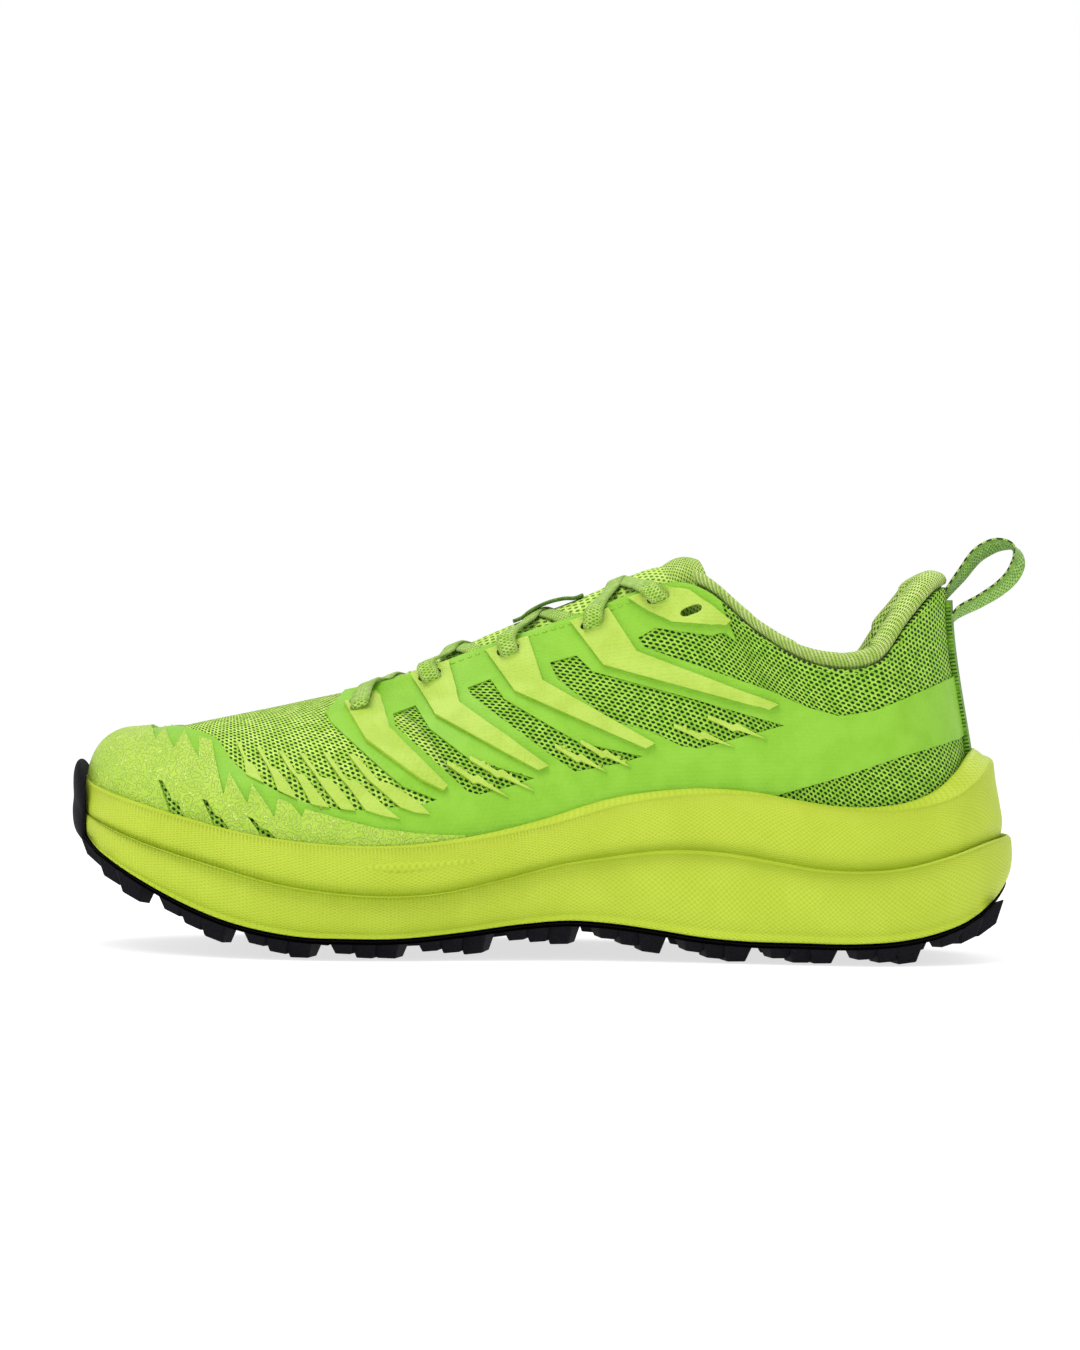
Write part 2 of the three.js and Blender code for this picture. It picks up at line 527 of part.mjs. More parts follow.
// Textured cap: round the toe and back along the bottom edge of the forefoot, in side view.
const CAP_OUTLINE = [[-160, 20], [-160, 90], [-124, 90], [-123, 68], [-107, 64], [-100, 53], [-88, 50], [-72, 44.5], [-50, 40], [-24, 37.8], [-24, 20]];
function toeCap() {
  const inner = GAP + FILM + GAP;
  return layer(-THROAT, THROAT, 0.06, 1, inner, inner + CAP).intersect(sidePrism(CAP_OUTLINE, -FAR, FAR));
}

const COUNTER_OUTLINE = [[62, 20], [62, 44], [95, 62], [112, 92], [150, 108], [150, 20]];
function heelCounter() {
  const outer = -MESH - GAP;
  return layer(11, LOOP - 11, 0.03, 0.9, outer - STIFFENER, outer).intersect(sidePrism(COUNTER_OUTLINE, -FAR, FAR));
}

function toePuff() {
  const outer = -MESH - GAP;
  const reach = [[-160, 20], [-160, 90], [-126, 90], [-112, 60], [-92, 20]];
  return layer(-5, 5, 0.08, 1, outer - STIFFENER, outer).intersect(sidePrism(reach, -FAR, FAR));
}

// The reinforcement behind the lace slots.
function eyestayFacing(side, sideY) {
  const front = THROAT + 0.35;
  const [from, to] = side === "medial" ? [front, 12] : [LOOP - 12, LOOP - front];
  const outer = -MESH - 2.5 * GAP;
  const band = layer(from, to, 0.64, 0.995, outer - FACING, outer);
  return cutSlots(band, sideY);
}

// The collar: foam between mesh and lining, rolled over the top edge.
const COLLAR_FROM = 11.75;
const COLLAR_RISE = 5.2; // how far the roll stands above the seam
const collarPlaces = () => places(COLLAR_FROM, LOOP - COLLAR_FROM);
const counterFace = -MESH - GAP - STIFFENER - 2 * GAP;
function collarFoam() {
  const depth = (p) => PADDING * clamp((stationOf(p) - COLLAR_FROM) / 2 + 0.35, 0.35, 1);
  return loft(
    collarPlaces().map((p) => [
      layerPoint(p, 0.5, counterFace),
      layerPoint(p, 0.75, counterFace),
      layerPoint(p, 0.97, counterFace),
      layerPoint(p, 1, counterFace + 0.4, COLLAR_RISE * 0.34),
      layerPoint(p, 1, counterFace - depth(p) * 0.45, COLLAR_RISE * 0.52),
      layerPoint(p, 1, counterFace - depth(p), COLLAR_RISE * 0.2),
      layerPoint(p, 0.9, counterFace - depth(p)),
      layerPoint(p, 0.75, counterFace - depth(p) * 0.9),
      layerPoint(p, 0.55, counterFace - depth(p) * 0.35),
    ]),
  );
}

function collarLining() {
  const depth = (p) => PADDING * clamp((stationOf(p) - COLLAR_FROM) / 2 + 0.35, 0.35, 1);
  return loft(
    collarPlaces().map((p) => {
      const d = depth(p) + 1.2;
      return [
        layerPoint(p, 0.08, counterFace),
        layerPoint(p, 0.46, counterFace),
        layerPoint(p, 0.55, counterFace - d * 0.35 - 0.5),
        layerPoint(p, 0.75, counterFace - d * 0.95),
        layerPoint(p, 0.9, counterFace - d),
        layerPoint(p, 1, counterFace - d, COLLAR_RISE * 0.35),
        layerPoint(p, 1, counterFace - d * 0.45, COLLAR_RISE * 0.8),
        layerPoint(p, 1, counterFace + 0.9, COLLAR_RISE * 0.55),
        layerPoint(p, 1, -0.6, 0.5),
        layerPoint(p, 1, 0.2, 0.5),
        layerPoint(p, 1, -0.4, COLLAR_RISE * 0.66),
        layerPoint(p, 1, counterFace - d * 0.3, COLLAR_RISE),
        layerPoint(p, 1, counterFace - d - LINING, COLLAR_RISE * 0.6),
        layerPoint(p, 0.9, counterFace - d - LINING),
        layerPoint(p, 0.75, counterFace - d * 0.95 - LINING),
        layerPoint(p, 0.55, counterFace - d * 0.35 - 0.5 - LINING),
        layerPoint(p, 0.46, counterFace - LINING),
        layerPoint(p, 0.08, counterFace - LINING),
      ];
    }),
  );
}

// ---------------------------------------------------------------- tongue
// Its edges lie inside the eyestays and its middle arches up between them.
const TONGUE_INSET = MESH + FACING + 9.5 * GAP;
const TONGUE_FRONT = 7.5;
const TONGUE_FOLD = 11.1; // where the laces stop holding it down
const TONGUE_ARCH = [[7, 4], [8, 5.5], [9, 6.4], [10, 6.6], [11, 6.6], [12, 6]];
const tonguePad = (p) => lerp(3, 5, clamp((p - 9) / 2, 0, 1));

function tongueRow(p, inset, shift = 0, narrow = 1) {
  const edge = (place) => [0.8, 0.9, 1].map((t) => layerPoint(place, t, -inset));
  const [near, far] = [edge(p), edge(LOOP - p).toReversed()];
  const arch = along(TONGUE_ARCH, p);
  const crest = [0.2, 0.5, 0.8].map((share) => {
    const point = near[2].clone().lerp(far[0], share);
    return point.add(new THREE.Vector3(-0.35, 0, 0.94).multiplyScalar(arch * 4 * share * (1 - share)));
  });
  const middle = crest[1].y;
  return [...near, ...crest, ...far].map((point) => {
    const away = Math.abs(point.y - middle);
    const lift = (1 - narrow) * away * 0.9;
    return new THREE.Vector3(point.x + shift * 0.82, lerp(middle, point.y, narrow), point.z + shift * 0.57 + lift);
  });
}

function tonguePanel(rows) {
  return loft(
    rows.map(([p, shift, narrow]) => [
      ...tongueRow(p, TONGUE_INSET, shift, narrow),
      ...tongueRow(p, TONGUE_INSET + tonguePad(p), shift, narrow).toReversed(),
    ]),
  );
}
const tongue = () => tonguePanel([...places(TONGUE_FRONT, TONGUE_FOLD, 0.5)].map((p) => [p, 0, 1]));
const tongueTop = () => tonguePanel([[TONGUE_FOLD, 1.6, 1], [TONGUE_FOLD, 6, 0.93], [TONGUE_FOLD, 10, 0.84], [TONGUE_FOLD, 13, 0.7]]);

// A strip of webbing along a row of points in the XZ plane.
function webbing(line, steps, width, thick) {
  const curve = new THREE.CatmullRomCurve3(line);
  const rows = [];
  for (let i = 0; i <= steps; i++) {
    const middle = curve.getPointAt(i / steps);
    const ahead = curve.getTangentAt(i / steps);
    const up = new THREE.Vector3(-ahead.z, 0, ahead.x).multiplyScalar(thick / 2);
    const across = new THREE.Vector3(0, width / 2, 0);
    rows.push([
      middle.clone().add(up).add(across),
      middle.clone().add(up).sub(across),
      middle.clone().sub(up).sub(across),
      middle.clone().sub(up).add(across),
    ]);
  }
  return loft(rows);
}
const inXZ = (pairs) => pairs.map(([x, z]) => new THREE.Vector3(x, 0, z));

// The keeper on the middle of the tongue: the lace passes under it.
const KEEPER_WIDTH = 9;
function laceKeeper() {
  const line = [[9.2, 0], [9.32, 0], [9.42, 3], [9.65, 4.6], [9.9, 3], [10, 0], [10.12, 0]].map(([p, rise]) =>
    tongueRow(p, TONGUE_INSET - 5 * GAP - WEBBING_THICK)[4].add(new THREE.Vector3(-0.35, 0, 0.94).multiplyScalar(rise)),
  );
  return webbing(line, 10, KEEPER_WIDTH, WEBBING_THICK * 0.8);
}

// The loop at the heel and the strip sewn down the back seam below it.
const LOOP_LINE = [[130.2, 117.2], [133, 122], [138.4, 128.8], [144.5, 131.8], [149.5, 130.9], [151.2, 127.2], [149.7, 122.6], [145.6, 118.2], [139, 113.8], [132.4, 110.2]];
const STRIP_OUTLINE = [[120, 66.8], [160, 66.8], [160, 108.5], [120, 108.5]];
function heelStrip() {
  const inner = GAP + FILM + GAP + 0.5;
  const band = layer(18, 20, 0.28, 0.95, inner, inner + WEBBING_THICK);
  return band.intersect(sidePrism(STRIP_OUTLINE, -WEBBING_WIDTH / 2, WEBBING_WIDTH / 2));
}

// ---------------------------------------------------------------- lace
// Finds the place on the upper that a side-view point [x, z] falls on.
function locate([x, z], side) {
  const [from, to] = quarterEnds[side];
  let best = { far: Infinity };
  let [p0, t0, spanP, spanT] = [(from + to) / 2, 0.75, (to - from) / 2, 0.25];
  for (let pass = 0; pass < 6; pass++) {
    for (let i = -8; i <= 8; i++) {
      for (let j = -8; j <= 8; j++) {
        const p = clamp(p0 + (i / 8) * spanP, from, to);
        const t = clamp(t0 + (j / 8) * spanT, 0, 1);
        const at = skin(p, t);
        const far = Math.hypot(at.x - x, at.z - z);
        if (far < best.far) best = { p, t, far };
      }
    }
    [p0, t0, spanP, spanT] = [best.p, best.t, spanP / 4, spanT / 4];
  }
  return best;
}

// The lace's route is a row of { at, wide } or { at, face }: a point on its middle line, with the
// direction of its width or the direction its flat side faces.
const SLOT_WIDE = new THREE.Vector3(Math.cos(SLOT_TILT), 0, Math.sin(SLOT_TILT));
const UNDER = -MESH - 2.5 * GAP - FACING - GAP - LACE_THICK / 2; // middle of the lace behind the eyestay
const OVER = GAP + FILM + GAP + RIB + GAP + LACE_THICK / 2; // middle of the lace on top of the ribs
const LACED_ROWS = 5;

// A route point on one side's wall, counted in stations from the slot of a row.
function onWall(side, row, shift, t, offset) {
  const slot = locate(SLOTS[row], side);
  const p = slot.p + (side === "medial" ? shift : -shift);
  return { at: layerPoint(p, t ?? slot.t, offset), wide: SLOT_WIDE };
}

// Straight through a slot from the inside to the outside.
function throughSlot(side, row) {
  const { p, t } = locate(SLOTS[row], side);
  const slant = Math.max(Math.abs(normalAt(p, t).y), 0.4);
  const out = new THREE.Vector3(0, side === "medial" ? -1 : 1, 0);
  return [UNDER / slant, -0.7 / slant, OVER / slant].map((far) => ({
    at: skin(p, t).addScaledVector(out, far),
    wide: SLOT_WIDE,
  }));
}

// Over the tongue from one side's slot towards the next row on the other side.
function crossing(side, row, lift) {
  const [p0, p1] = [locate(SLOTS[row], "medial").p + 0.28, locate(SLOTS[row + 1], "medial").p - 0.2];
  const direction = side === "medial" ? 1 : -1;
  const wide = new THREE.Vector3(0.85, -0.5 * direction, 0.35);
  return [0.25, 0.5, 0.75].map((share) => {
    const crest = tongueRow(lerp(p0, p1, share), TONGUE_INSET - lift).slice(3, 6);
    const [a, b] = direction > 0 ? [crest[0], crest[2]] : [crest[2], crest[0]];
    const middle = crest[1];
    const at = share < 0.5 ? a.clone().lerp(middle, 0.1) : share > 0.5 ? b.clone().lerp(middle, 0.1) : middle;
    return { at, wide };
  });
}

// One half of the lace, from the middle of the lowest bar to the end of the tail.
const LACE_LIFT = 1.1; // middle of the lower strand above the tongue
function halfLace(startSide) {
  const lowest = locate(SLOTS[0], "medial").p;
  const route = [{ at: tongueRow(lowest, TONGUE_INSET - 1.2)[4], wide: SLOT_WIDE }];
  let side = startSide;
  route.push(onWall(side, 0, 0, 0.985, UNDER));
  for (let row = 0; row < LACED_ROWS - 1; row++) {
    route.push(...throughSlot(side, row));
    route.push(onWall(side, row, 0.12, 0.97, OVER + 0.4));
    const onTop = (row % 2 === 0) === (startSide === "medial");
    route.push(...crossing(side, row, LACE_LIFT + (onTop ? LACE_THICK + 2 * GAP : 0)));
    side = side === "medial" ? "lateral" : "medial";
    const last = row === LACED_ROWS - 2;
    route.push(onWall(side, row + 1, last ? -0.05 : -0.12, 0.98, last ? OVER + 0.4 : UNDER));
  }
  route.push(...throughSlot(side, LACED_ROWS - 1).toReversed());
  const tail = [[-0.25, 0.84], [-0.8, 0.74], [-1.5, 0.66], [-2.1, 0.58], [-2.45, 0.5], [-2.45, 0.41], [-2.1, 0.36], [-1.5, 0.38]];
  for (const [shift, t] of tail) {
    const { p } = locate(SLOTS[LACED_ROWS - 1], side);
    const place = p + (side === "medial" ? shift : -shift);
    route.push({ at: layerPoint(place, t, UNDER), face: normalAt(place, t) });
  }
  return route;
}

// Sweeps a flat section along a route.
const LACE_STEP = 4.5;
function sweepFlat(route, width, thick, from = 0, to = 1) {
  const curve = new THREE.CatmullRomCurve3(route.map((point) => point.at), false, "centripetal");
  const last = route.length - 1;
  const wides = [];
  for (let i = 0; i <= last; i++) {
    const { wide, face } = route[i];
    const direction = wide ? wide.clone() : face.clone().cross(curve.getTangent(i / last));
    if (i && direction.dot(wides[i - 1]) < 0) direction.negate();
    wides.push(direction.normalize());
  }
  const rows = [];
  for (let i = 0; i < last; i++) {
    const steps = Math.max(1, Math.round(route[i].at.distanceTo(route[i + 1].at) / LACE_STEP));
    for (let k = i ? 1 : 0; k <= steps; k++) {
      const u = (i + k / steps) / last;
      if (u < from || u > to) continue;
      const tangent = curve.getTangent(u);
      const wide = wides[i].clone().lerp(wides[i + 1], k / steps);
      wide.addScaledVector(tangent, -wide.dot(tangent)).setLength(width / 2);
      const up = tangent.clone().cross(wide).setLength(thick / 2);
      const middle = curve.getPoint(u);
      rows.push([[1, 1], [-1, 1], [-1, -1], [1, -1]].map(([a, b]) => middle.clone().addScaledVector(wide, a).addScaledVector(up, b)));
    }
  }
  return loft(rows);
}

const laceRoute = [...halfLace("lateral").slice(1).toReversed(), ...halfLace("medial")];
const AGLET_SHARE = 0.016; // share of the route that the hard tip at each end takes up
const AGLET_SIZE = [3.6, 2];
const lace = () => sweepFlat(laceRoute, LACE_WIDTH, LACE_THICK, AGLET_SHARE, 1 - AGLET_SHARE);
const aglets = () => [
  sweepFlat(laceRoute, ...AGLET_SIZE, 0, AGLET_SHARE - 0.0015),
  sweepFlat(laceRoute, ...AGLET_SIZE, 1 - AGLET_SHARE + 0.0015, 1),
];
// The pieces that the lace passes through or presses into keep clear of it.
const laceSpace = sweepFlat(laceRoute, LACE_WIDTH + 3.1 * GAP, LACE_THICK + 4 * GAP);
const LACED = /^(vamp|quarter|film|eyestay|rib|eyelet|tongue)/;
// Clears a piece for the lace and drops the crumbs that the cut leaves.
function clearOfLace(body) {
  const pieces = body.subtract(laceSpace).decompose();
  return pieces.reduce((best, piece) => (piece.volume() > best.volume() ? piece : best));
}

// ---------------------------------------------------------------- materials and assembly
const COLOURS = { lime: 0xb8d63c, green: 0x86cc45, mesh: 0x7fb83a, webbing: 0x5d8f2e, lace: 0x9fc763, black: 0x17161c, board: 0xd9d6cc, stiffener: 0x6f7a6a, foam: 0xd8d8c8 };
const finish = (name, roughness) => new THREE.MeshStandardMaterial({ color: COLOURS[name], roughness, metalness: 0 });

const shoe = new THREE.Group();
function place(name, body, colour, roughness = 0.8) {
  const { vertProperties, triVerts } = (LACED.test(name) ? clearOfLace(body) : body).getMesh();
  const geometry = new THREE.BufferGeometry();
  geometry.setAttribute("position", new THREE.BufferAttribute(vertProperties, 3));
  geometry.setIndex(new THREE.BufferAttribute(triVerts, 1));
  const mesh = new THREE.Mesh(geometry, finish(colour, roughness));
  mesh.name = name;
  shoe.add(mesh);
}

place("outsole", outsole(), "black", 0.6);
place("midsole_lower", midsoleLower(), "lime", 0.6);
place("midsole_upper", midsoleUpper(), "lime", 0.6);
place("strobel_board", board(GAP, GAP + BOARD, inside(7.5)), "board");
place("insole", board(2 * GAP + BOARD, 2 * GAP + BOARD + INSOLE, inside(8)), "green");
place("vamp_mesh", layer(-frontEnd, frontEnd, 0, 1, -MESH, 0), "mesh");
place("toe_puff", toePuff(), "stiffener");
place("heel_counter", heelCounter(), "stiffener");
place("film_overlay", film(), "green", 0.45);
place("toe_cap", toeCap(), "lime", 0.55);
place("collar_foam", collarFoam(), "foam");
place("collar_lining", collarLining(), "lace");
bothSides((side, sideY) => {
  const mesh = layer(...quarterEnds[side], 0, 0.995, -MESH, 0);
  place(`quarter_mesh_${side}`, cutSlots(mesh, sideY), "mesh");
  place(`eyestay_facing_${side}`, eyestayFacing(side, sideY), "stiffener");
  RIBS.forEach((outline, i) => place(`rib_${side}_${i + 1}`, rib(outline, side, sideY), "lime", 0.4));
  place(`eyelet_patch_${side}`, rib(EYELET_PATCH, side, sideY), "lime", 0.4);
});
place("tongue", tongue(), "mesh");
place("tongue_top", tongueTop(), "lace");
place("lace", lace(), "lace");
aglets().forEach((tip, i) => place(`aglet_${["lateral", "medial"][i]}`, tip, "lace", 0.3));
place("lace_keeper", laceKeeper(), "webbing");
place("pull_loop", webbing(inXZ(LOOP_LINE), 26, WEBBING_WIDTH, WEBBING_THICK), "webbing");
place("heel_strip", heelStrip(), "webbing");

// The origin is the middle of the shoe's box on the ground.
const centre = new THREE.Box3().setFromObject(shoe).getCenter(new THREE.Vector3());
shoe.children.forEach((mesh) => mesh.geometry.translate(-centre.x, -centre.y, 0));

export default shoe;
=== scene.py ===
# %% [markdown]
# # A trail running shoe
# A shoe like this is a stack of layers: rubber, two foams, a knitted mesh pulled over a last, thin film and
# moulded ribs bonded onto the mesh, a padded collar and tongue, and one flat lace. Almost every layer of the
# upper follows the same curved wall, so the lesson describes that wall once and then lays each layer on it.

# %% Load the fixed frame
import math

import bmesh
import bpy
import numpy as np
from mathutils import Matrix, Vector


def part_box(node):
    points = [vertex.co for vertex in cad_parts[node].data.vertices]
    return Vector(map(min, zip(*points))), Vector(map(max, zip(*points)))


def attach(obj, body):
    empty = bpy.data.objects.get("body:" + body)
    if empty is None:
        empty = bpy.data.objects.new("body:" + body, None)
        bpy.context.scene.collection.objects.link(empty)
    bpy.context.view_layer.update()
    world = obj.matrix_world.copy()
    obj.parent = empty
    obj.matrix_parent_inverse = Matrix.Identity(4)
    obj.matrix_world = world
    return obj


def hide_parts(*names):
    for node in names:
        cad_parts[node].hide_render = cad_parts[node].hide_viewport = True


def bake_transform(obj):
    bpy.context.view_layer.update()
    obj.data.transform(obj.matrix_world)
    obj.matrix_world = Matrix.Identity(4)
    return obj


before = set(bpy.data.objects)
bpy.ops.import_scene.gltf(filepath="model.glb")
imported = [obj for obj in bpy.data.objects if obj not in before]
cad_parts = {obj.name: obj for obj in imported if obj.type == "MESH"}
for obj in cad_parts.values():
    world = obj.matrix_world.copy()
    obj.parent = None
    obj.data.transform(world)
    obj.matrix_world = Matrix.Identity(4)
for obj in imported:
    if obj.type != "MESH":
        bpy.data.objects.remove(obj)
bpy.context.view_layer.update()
scene = bpy.context.scene

# %% [markdown]
# The shoe is drawn in millimetres and scaled to metres at the end of each piece. The frame's origin is the
# middle of the shoe's box, which is not where the maker's drawing starts, so the lower foam layer, whose
# drawing limits are known, tells how far the two are apart.

# %% Millimetres and the frame's origin
MM = 0.001
SOLE_START = (-146.5, -54.5)
foam_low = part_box("midsole_lower")[0]
ORIGIN = np.array([SOLE_START[0] - foam_low[0] / MM, SOLE_START[1] - foam_low[1] / MM, 0.0])
print("drawing origin is off by", ORIGIN.round(2), "mm")

# %% [markdown]
# ## The camera
# The shoe is seen square on from its inner side, from just above the height of the ankle and a little over a
# metre away, with the lens of a studio portrait. The camera leans by one degree, as a held one does.

# %% Camera
LEAN = math.radians(-0.95)
camera_data = bpy.data.cameras.new("camera")
camera_data.lens = 91.5
camera_data.sensor_width = 36
camera = bpy.data.objects.new("camera", camera_data)
camera.location = (-0.00235, -1.1015, 0.08774)
camera.rotation_euler = (math.radians(90), LEAN, 0)
scene.collection.objects.link(camera)
scene.camera = camera
scene.view_settings.view_transform = "Standard"
print("camera at", tuple(camera.location))

# %% [markdown]
# ## The wall of the shoe
# Stations run from the toe (0) to the middle of the heel (19). Each has a point on the footbed, a point at
# the widest line of the sole, and a point on the ridge, throat or collar edge. Going on past the heel, the
# same stations come back on the outer side, so a place on the loop and its mirror add up to 38.

# %% Stations of the shoe
LAST = 19
LOOP = 2 * LAST
THROAT = 7
# foot x and its two ys, sole x and its two ys, top x and z, middle, half opening, arch, bulge, two rims
STATIONS = np.array([
    (-142.5, -5, -5, -146.5, -5, -5, -130, 67.5, -5, 0, 1, 2.6, 53, 53),
    (-138.5, -19, 8.5, -143, -23, 12, -125, 68, -5, 0, 1, 2.6, 50.5, 50.5),
    (-128.5, -30.5, 21, -132, -38, 28, -117, 69.2, -5, 0, 1, 2.6, 47, 47),
    (-111, -40, 33, -112.5, -49, 42, -107, 71.6, -5, 0, 1, 2.5, 42, 41.5),
    (-90, -45.5, 43, -88.5, -54, 52, -96, 74, -5, 0, 1, 3, 37, 36),
    (-68, -47, 48, -64.5, -54.5, 57, -85, 76.4, -5, 0, 1, 3, 34.3, 33),
    (-46, -45, 50, -41, -50.5, 57.5, -74, 79, -5, 0, 1, 3, 34.1, 32.5),
    (-24, -40, 49, -18, -45, 55.5, -63, 81.5, -5, 0, 0.95, 3, 36.8, 33.5),
    (-2, -36, 46, 5, -41, 52.5, -43, 87, -3.5, 10.5, 0.85, 2.5, 41.8, 37),
    (21, -33.5, 42.5, 28, -39.5, 50, -16, 97.5, -2.3, 15.2, 0.7, 2, 48.6, 42),
    (43, -33.5, 40, 51, -40.5, 48, 12, 107.5, -1.2, 19.2, 0.5, 2, 51.8, 45.5),
    (61, -34.5, 38.5, 69, -42, 47, 36, 117, -0.5, 24, 0.35, 2, 51.6, 46.5),
    (76, -36, 38, 83, -43, 46.5, 50, 115, 0, 28.5, 0.25, 2, 49.5, 46),
    (89, -36.5, 37.5, 96, -43.5, 45.5, 65, 102.5, 0, 32, 0.2, 2, 47.8, 46),
    (101, -36, 36.5, 108.5, -42, 43.5, 79, 94, 0, 34.5, 0.15, 2, 47.6, 47),
    (112.5, -33.5, 33.5, 120.5, -38.5, 39.5, 93, 91, 0, 35, 0.1, 2, 49, 48.5),
    (123, -28.5, 28.5, 131.5, -32.5, 33, 105, 94, 0, 32.5, 0.05, 1.5, 52.5, 52.5),
    (131.5, -20.5, 20.5, 141, -23.5, 23.5, 113.5, 105, 0, 26.5, 0, 1, 58, 58),
    (136, -10.5, 10.5, 148, -12, 12, 122.5, 115, 0, 16, 0, 0.5, 63, 63),
    (138.5, 0, 0, 150.5, 0, 0, 128.3, 118, 0, 0, 0, 0, 64.5, 64.5),
])
FOOT_X, SOLE_X, TOP_X, TOP_Z, MIDDLE, OPENING, ARCH, BULGE = 0, 3, 6, 7, 8, 9, 10, 11
FOOT_Y, SOLE_Y, RIM = 1, 4, 12
COLLAR_DROP = {13: 2, 14: 3, 15: 3.5, 16: 3, 17: 1.5}  # the outer ankle sits lower
print(len(STATIONS), "stations")

# %% [markdown]
# Between stations the values follow a smooth cubic, as a flexible batten would. The heights of the footbed,
# of the groove between the foams and of the underside depend on how far along the shoe one is.

# %% Smooth values round and along the shoe
FOOTBED = [(-146, 45), (-130, 38), (-110, 31.5), (-90, 27.5), (-65, 25), (-35, 25.2), (-5, 27.5), (30, 31),
           (70, 33), (110, 34), (150, 35)]
GROOVE = [(-147, 43), (-129, 36), (-99, 27.2), (-80, 22.3), (-60, 19.6), (-45, 19), (-30, 20.2),
          (-11, 24.6), (6, 29), (20, 31.3), (40, 33.6), (57, 33), (71, 31), (86, 28.8), (97, 28.4),
          (112, 29.6), (127, 33.2), (142, 37.6), (151, 39)]
UNDERSIDE = [(-147, 39), (-139, 31.5), (-132, 27.2), (-119, 20.4), (-109, 15.8), (-96, 11), (-85, 8.4),
             (-72, 6.6), (-60, 6.3), (-45, 6.3), (-25, 8.2), (-6, 10.8), (10, 12), (20, 11.4), (36, 9.4),
             (50, 7.4), (62, 6.5), (80, 6.3), (98, 6.3), (112, 7.4), (123, 9.6), (136, 14.6), (143, 19.5),
             (151, 27)]


def along(pairs, x):
    """A value that varies smoothly along x between (x, value) pairs."""
    xs, values = np.array(pairs, float).T
    slopes = np.gradient(values, xs)
    i = np.clip(np.searchsorted(xs, x) - 1, 0, len(xs) - 2)
    width = xs[i + 1] - xs[i]
    t = np.clip((x - xs[i]) / width, 0, 1)
    rise = values[i + 1] - values[i]
    a, b = slopes[i] * width, slopes[i + 1] * width
    return values[i] + a * t + (3 * rise - 2 * a - b) * t**2 + (a + b - 2 * rise) * t**3


def mix_to(a, b, share):
    return a + (b - a) * share


def station_of(p):
    """The station number at a place on the loop."""
    p = np.mod(p, LOOP)
    return np.minimum(p, LOOP - p)


def is_medial(p):
    return np.mod(p, LOOP) <= LAST


def around(p, column, two_sided=False):
    """A station value at a place on the loop; a two-sided value keeps its outer side in the next column."""
    stations = np.array([min(j, LOOP - j) for j in range(LOOP)])
    outer = np.array([j > LAST for j in range(LOOP)])
    values = STATIONS[stations, column + (outer & two_sided)]
    if column == TOP_Z:
        values = values - np.array([COLLAR_DROP.get(k, 0) if o else 0 for k, o in zip(stations, outer)])
    p = np.mod(p, LOOP)
    i = np.floor(p).astype(int)
    t = p - i
    a, b, c, d = (values[(i + k) % LOOP] for k in (-1, 0, 1, 2))
    m, n = (c - a) / 2, (d - b) / 2
    return b + m * t + (3 * (c - b) - 2 * m - n) * t**2 + (m + n - 2 * (c - b)) * t**3


# %% [markdown]
# The wall leaves the footbed upright and curls over at the top: a quarter circle round the toe, and almost
# straight at the ankle. `skin_point` blends between the two with the station's arch.

# %% The outer face of the mesh
def foot_point(p):
    x = around(p, FOOT_X)
    return np.stack([x, around(p, FOOT_Y, True), along(FOOTBED, x) + 0.3], -1)


def sole_plan(p):
    return np.stack([around(p, SOLE_X), around(p, SOLE_Y, True)], -1)


def opening(p):
    return np.interp(station_of(p), range(LAST + 1), STATIONS[:, OPENING])


def skin_point(p, t):
    """Place p round the shoe, t from the footbed (0) to the top edge (1)."""
    side = np.where(is_medial(p), -1, 1)
    foot = foot_point(p)
    top = np.stack([around(p, TOP_X), around(p, MIDDLE) + side * opening(p), around(p, TOP_Z)], -1)
    arch = around(p, ARCH)
    turn = t * math.pi / 2
    ease = t * t * (3 - 2 * t)
    across = ease + (1 - np.cos(turn) - ease) * arch
    up = t + (np.sin(turn) - t) * arch
    out = (foot - top)[..., :2]
    out = out / np.linalg.norm(out, axis=-1, keepdims=True)
    swell = around(p, BULGE) * np.sin(math.pi * t)
    plan = foot[..., :2] + (top - foot)[..., :2] * across[..., None] + out * swell[..., None]
    return np.concatenate([plan, (foot[..., 2] + (top - foot)[..., 2] * up)[..., None]], -1)


# %% [markdown]
# The wall is sampled once into a fine table of points, outward directions and distances. Every layer then
# looks its vertices up in the table, which is much faster than working the curve out again for each one.

# %% Table of the wall
PLACE_STEP = 0.05
PLACES = np.arange(0, LOOP + PLACE_STEP / 2, PLACE_STEP)
RISES = np.linspace(0, 1, 81)
wall_points = skin_point(*np.meshgrid(PLACES, RISES, indexing="ij"))


def unit(vectors):
    return vectors / np.maximum(np.linalg.norm(vectors, axis=-1, keepdims=True), 1e-9)


wrapped = np.concatenate([wall_points[-3:-1], wall_points, wall_points[1:3]])
wall_normals = unit(np.cross(np.gradient(wrapped, axis=0)[2:-2], np.gradient(wall_points, axis=1)))
other_side = wall_normals[::-1]
on_ridge = np.clip((THROAT - station_of(PLACES)) * 4 + 1, 0, 1)[:, None] * np.clip((RISES - 0.8) / 0.2, 0, 1)
shared = unit(wall_normals[:, -3:-2] + other_side[:, -3:-2])
wall_normals = unit(wall_normals * (1 - on_ridge[..., None]) + shared * on_ridge[..., None])
wall_normals[0] = wall_normals[-1]

rise_steps = np.linalg.norm(np.diff(wall_points, axis=1), axis=-1)
wall_rise = np.concatenate([np.zeros((len(PLACES), 1)), np.cumsum(rise_steps, 1)], 1)
mid = wall_points[:, 40]
wall_run = np.concatenate([[0], np.cumsum(np.linalg.norm(np.diff(mid, axis=0), axis=-1))])
print("wall table", wall_points.shape[:2], "from", wall_points.min((0, 1)).round(1), "mm")


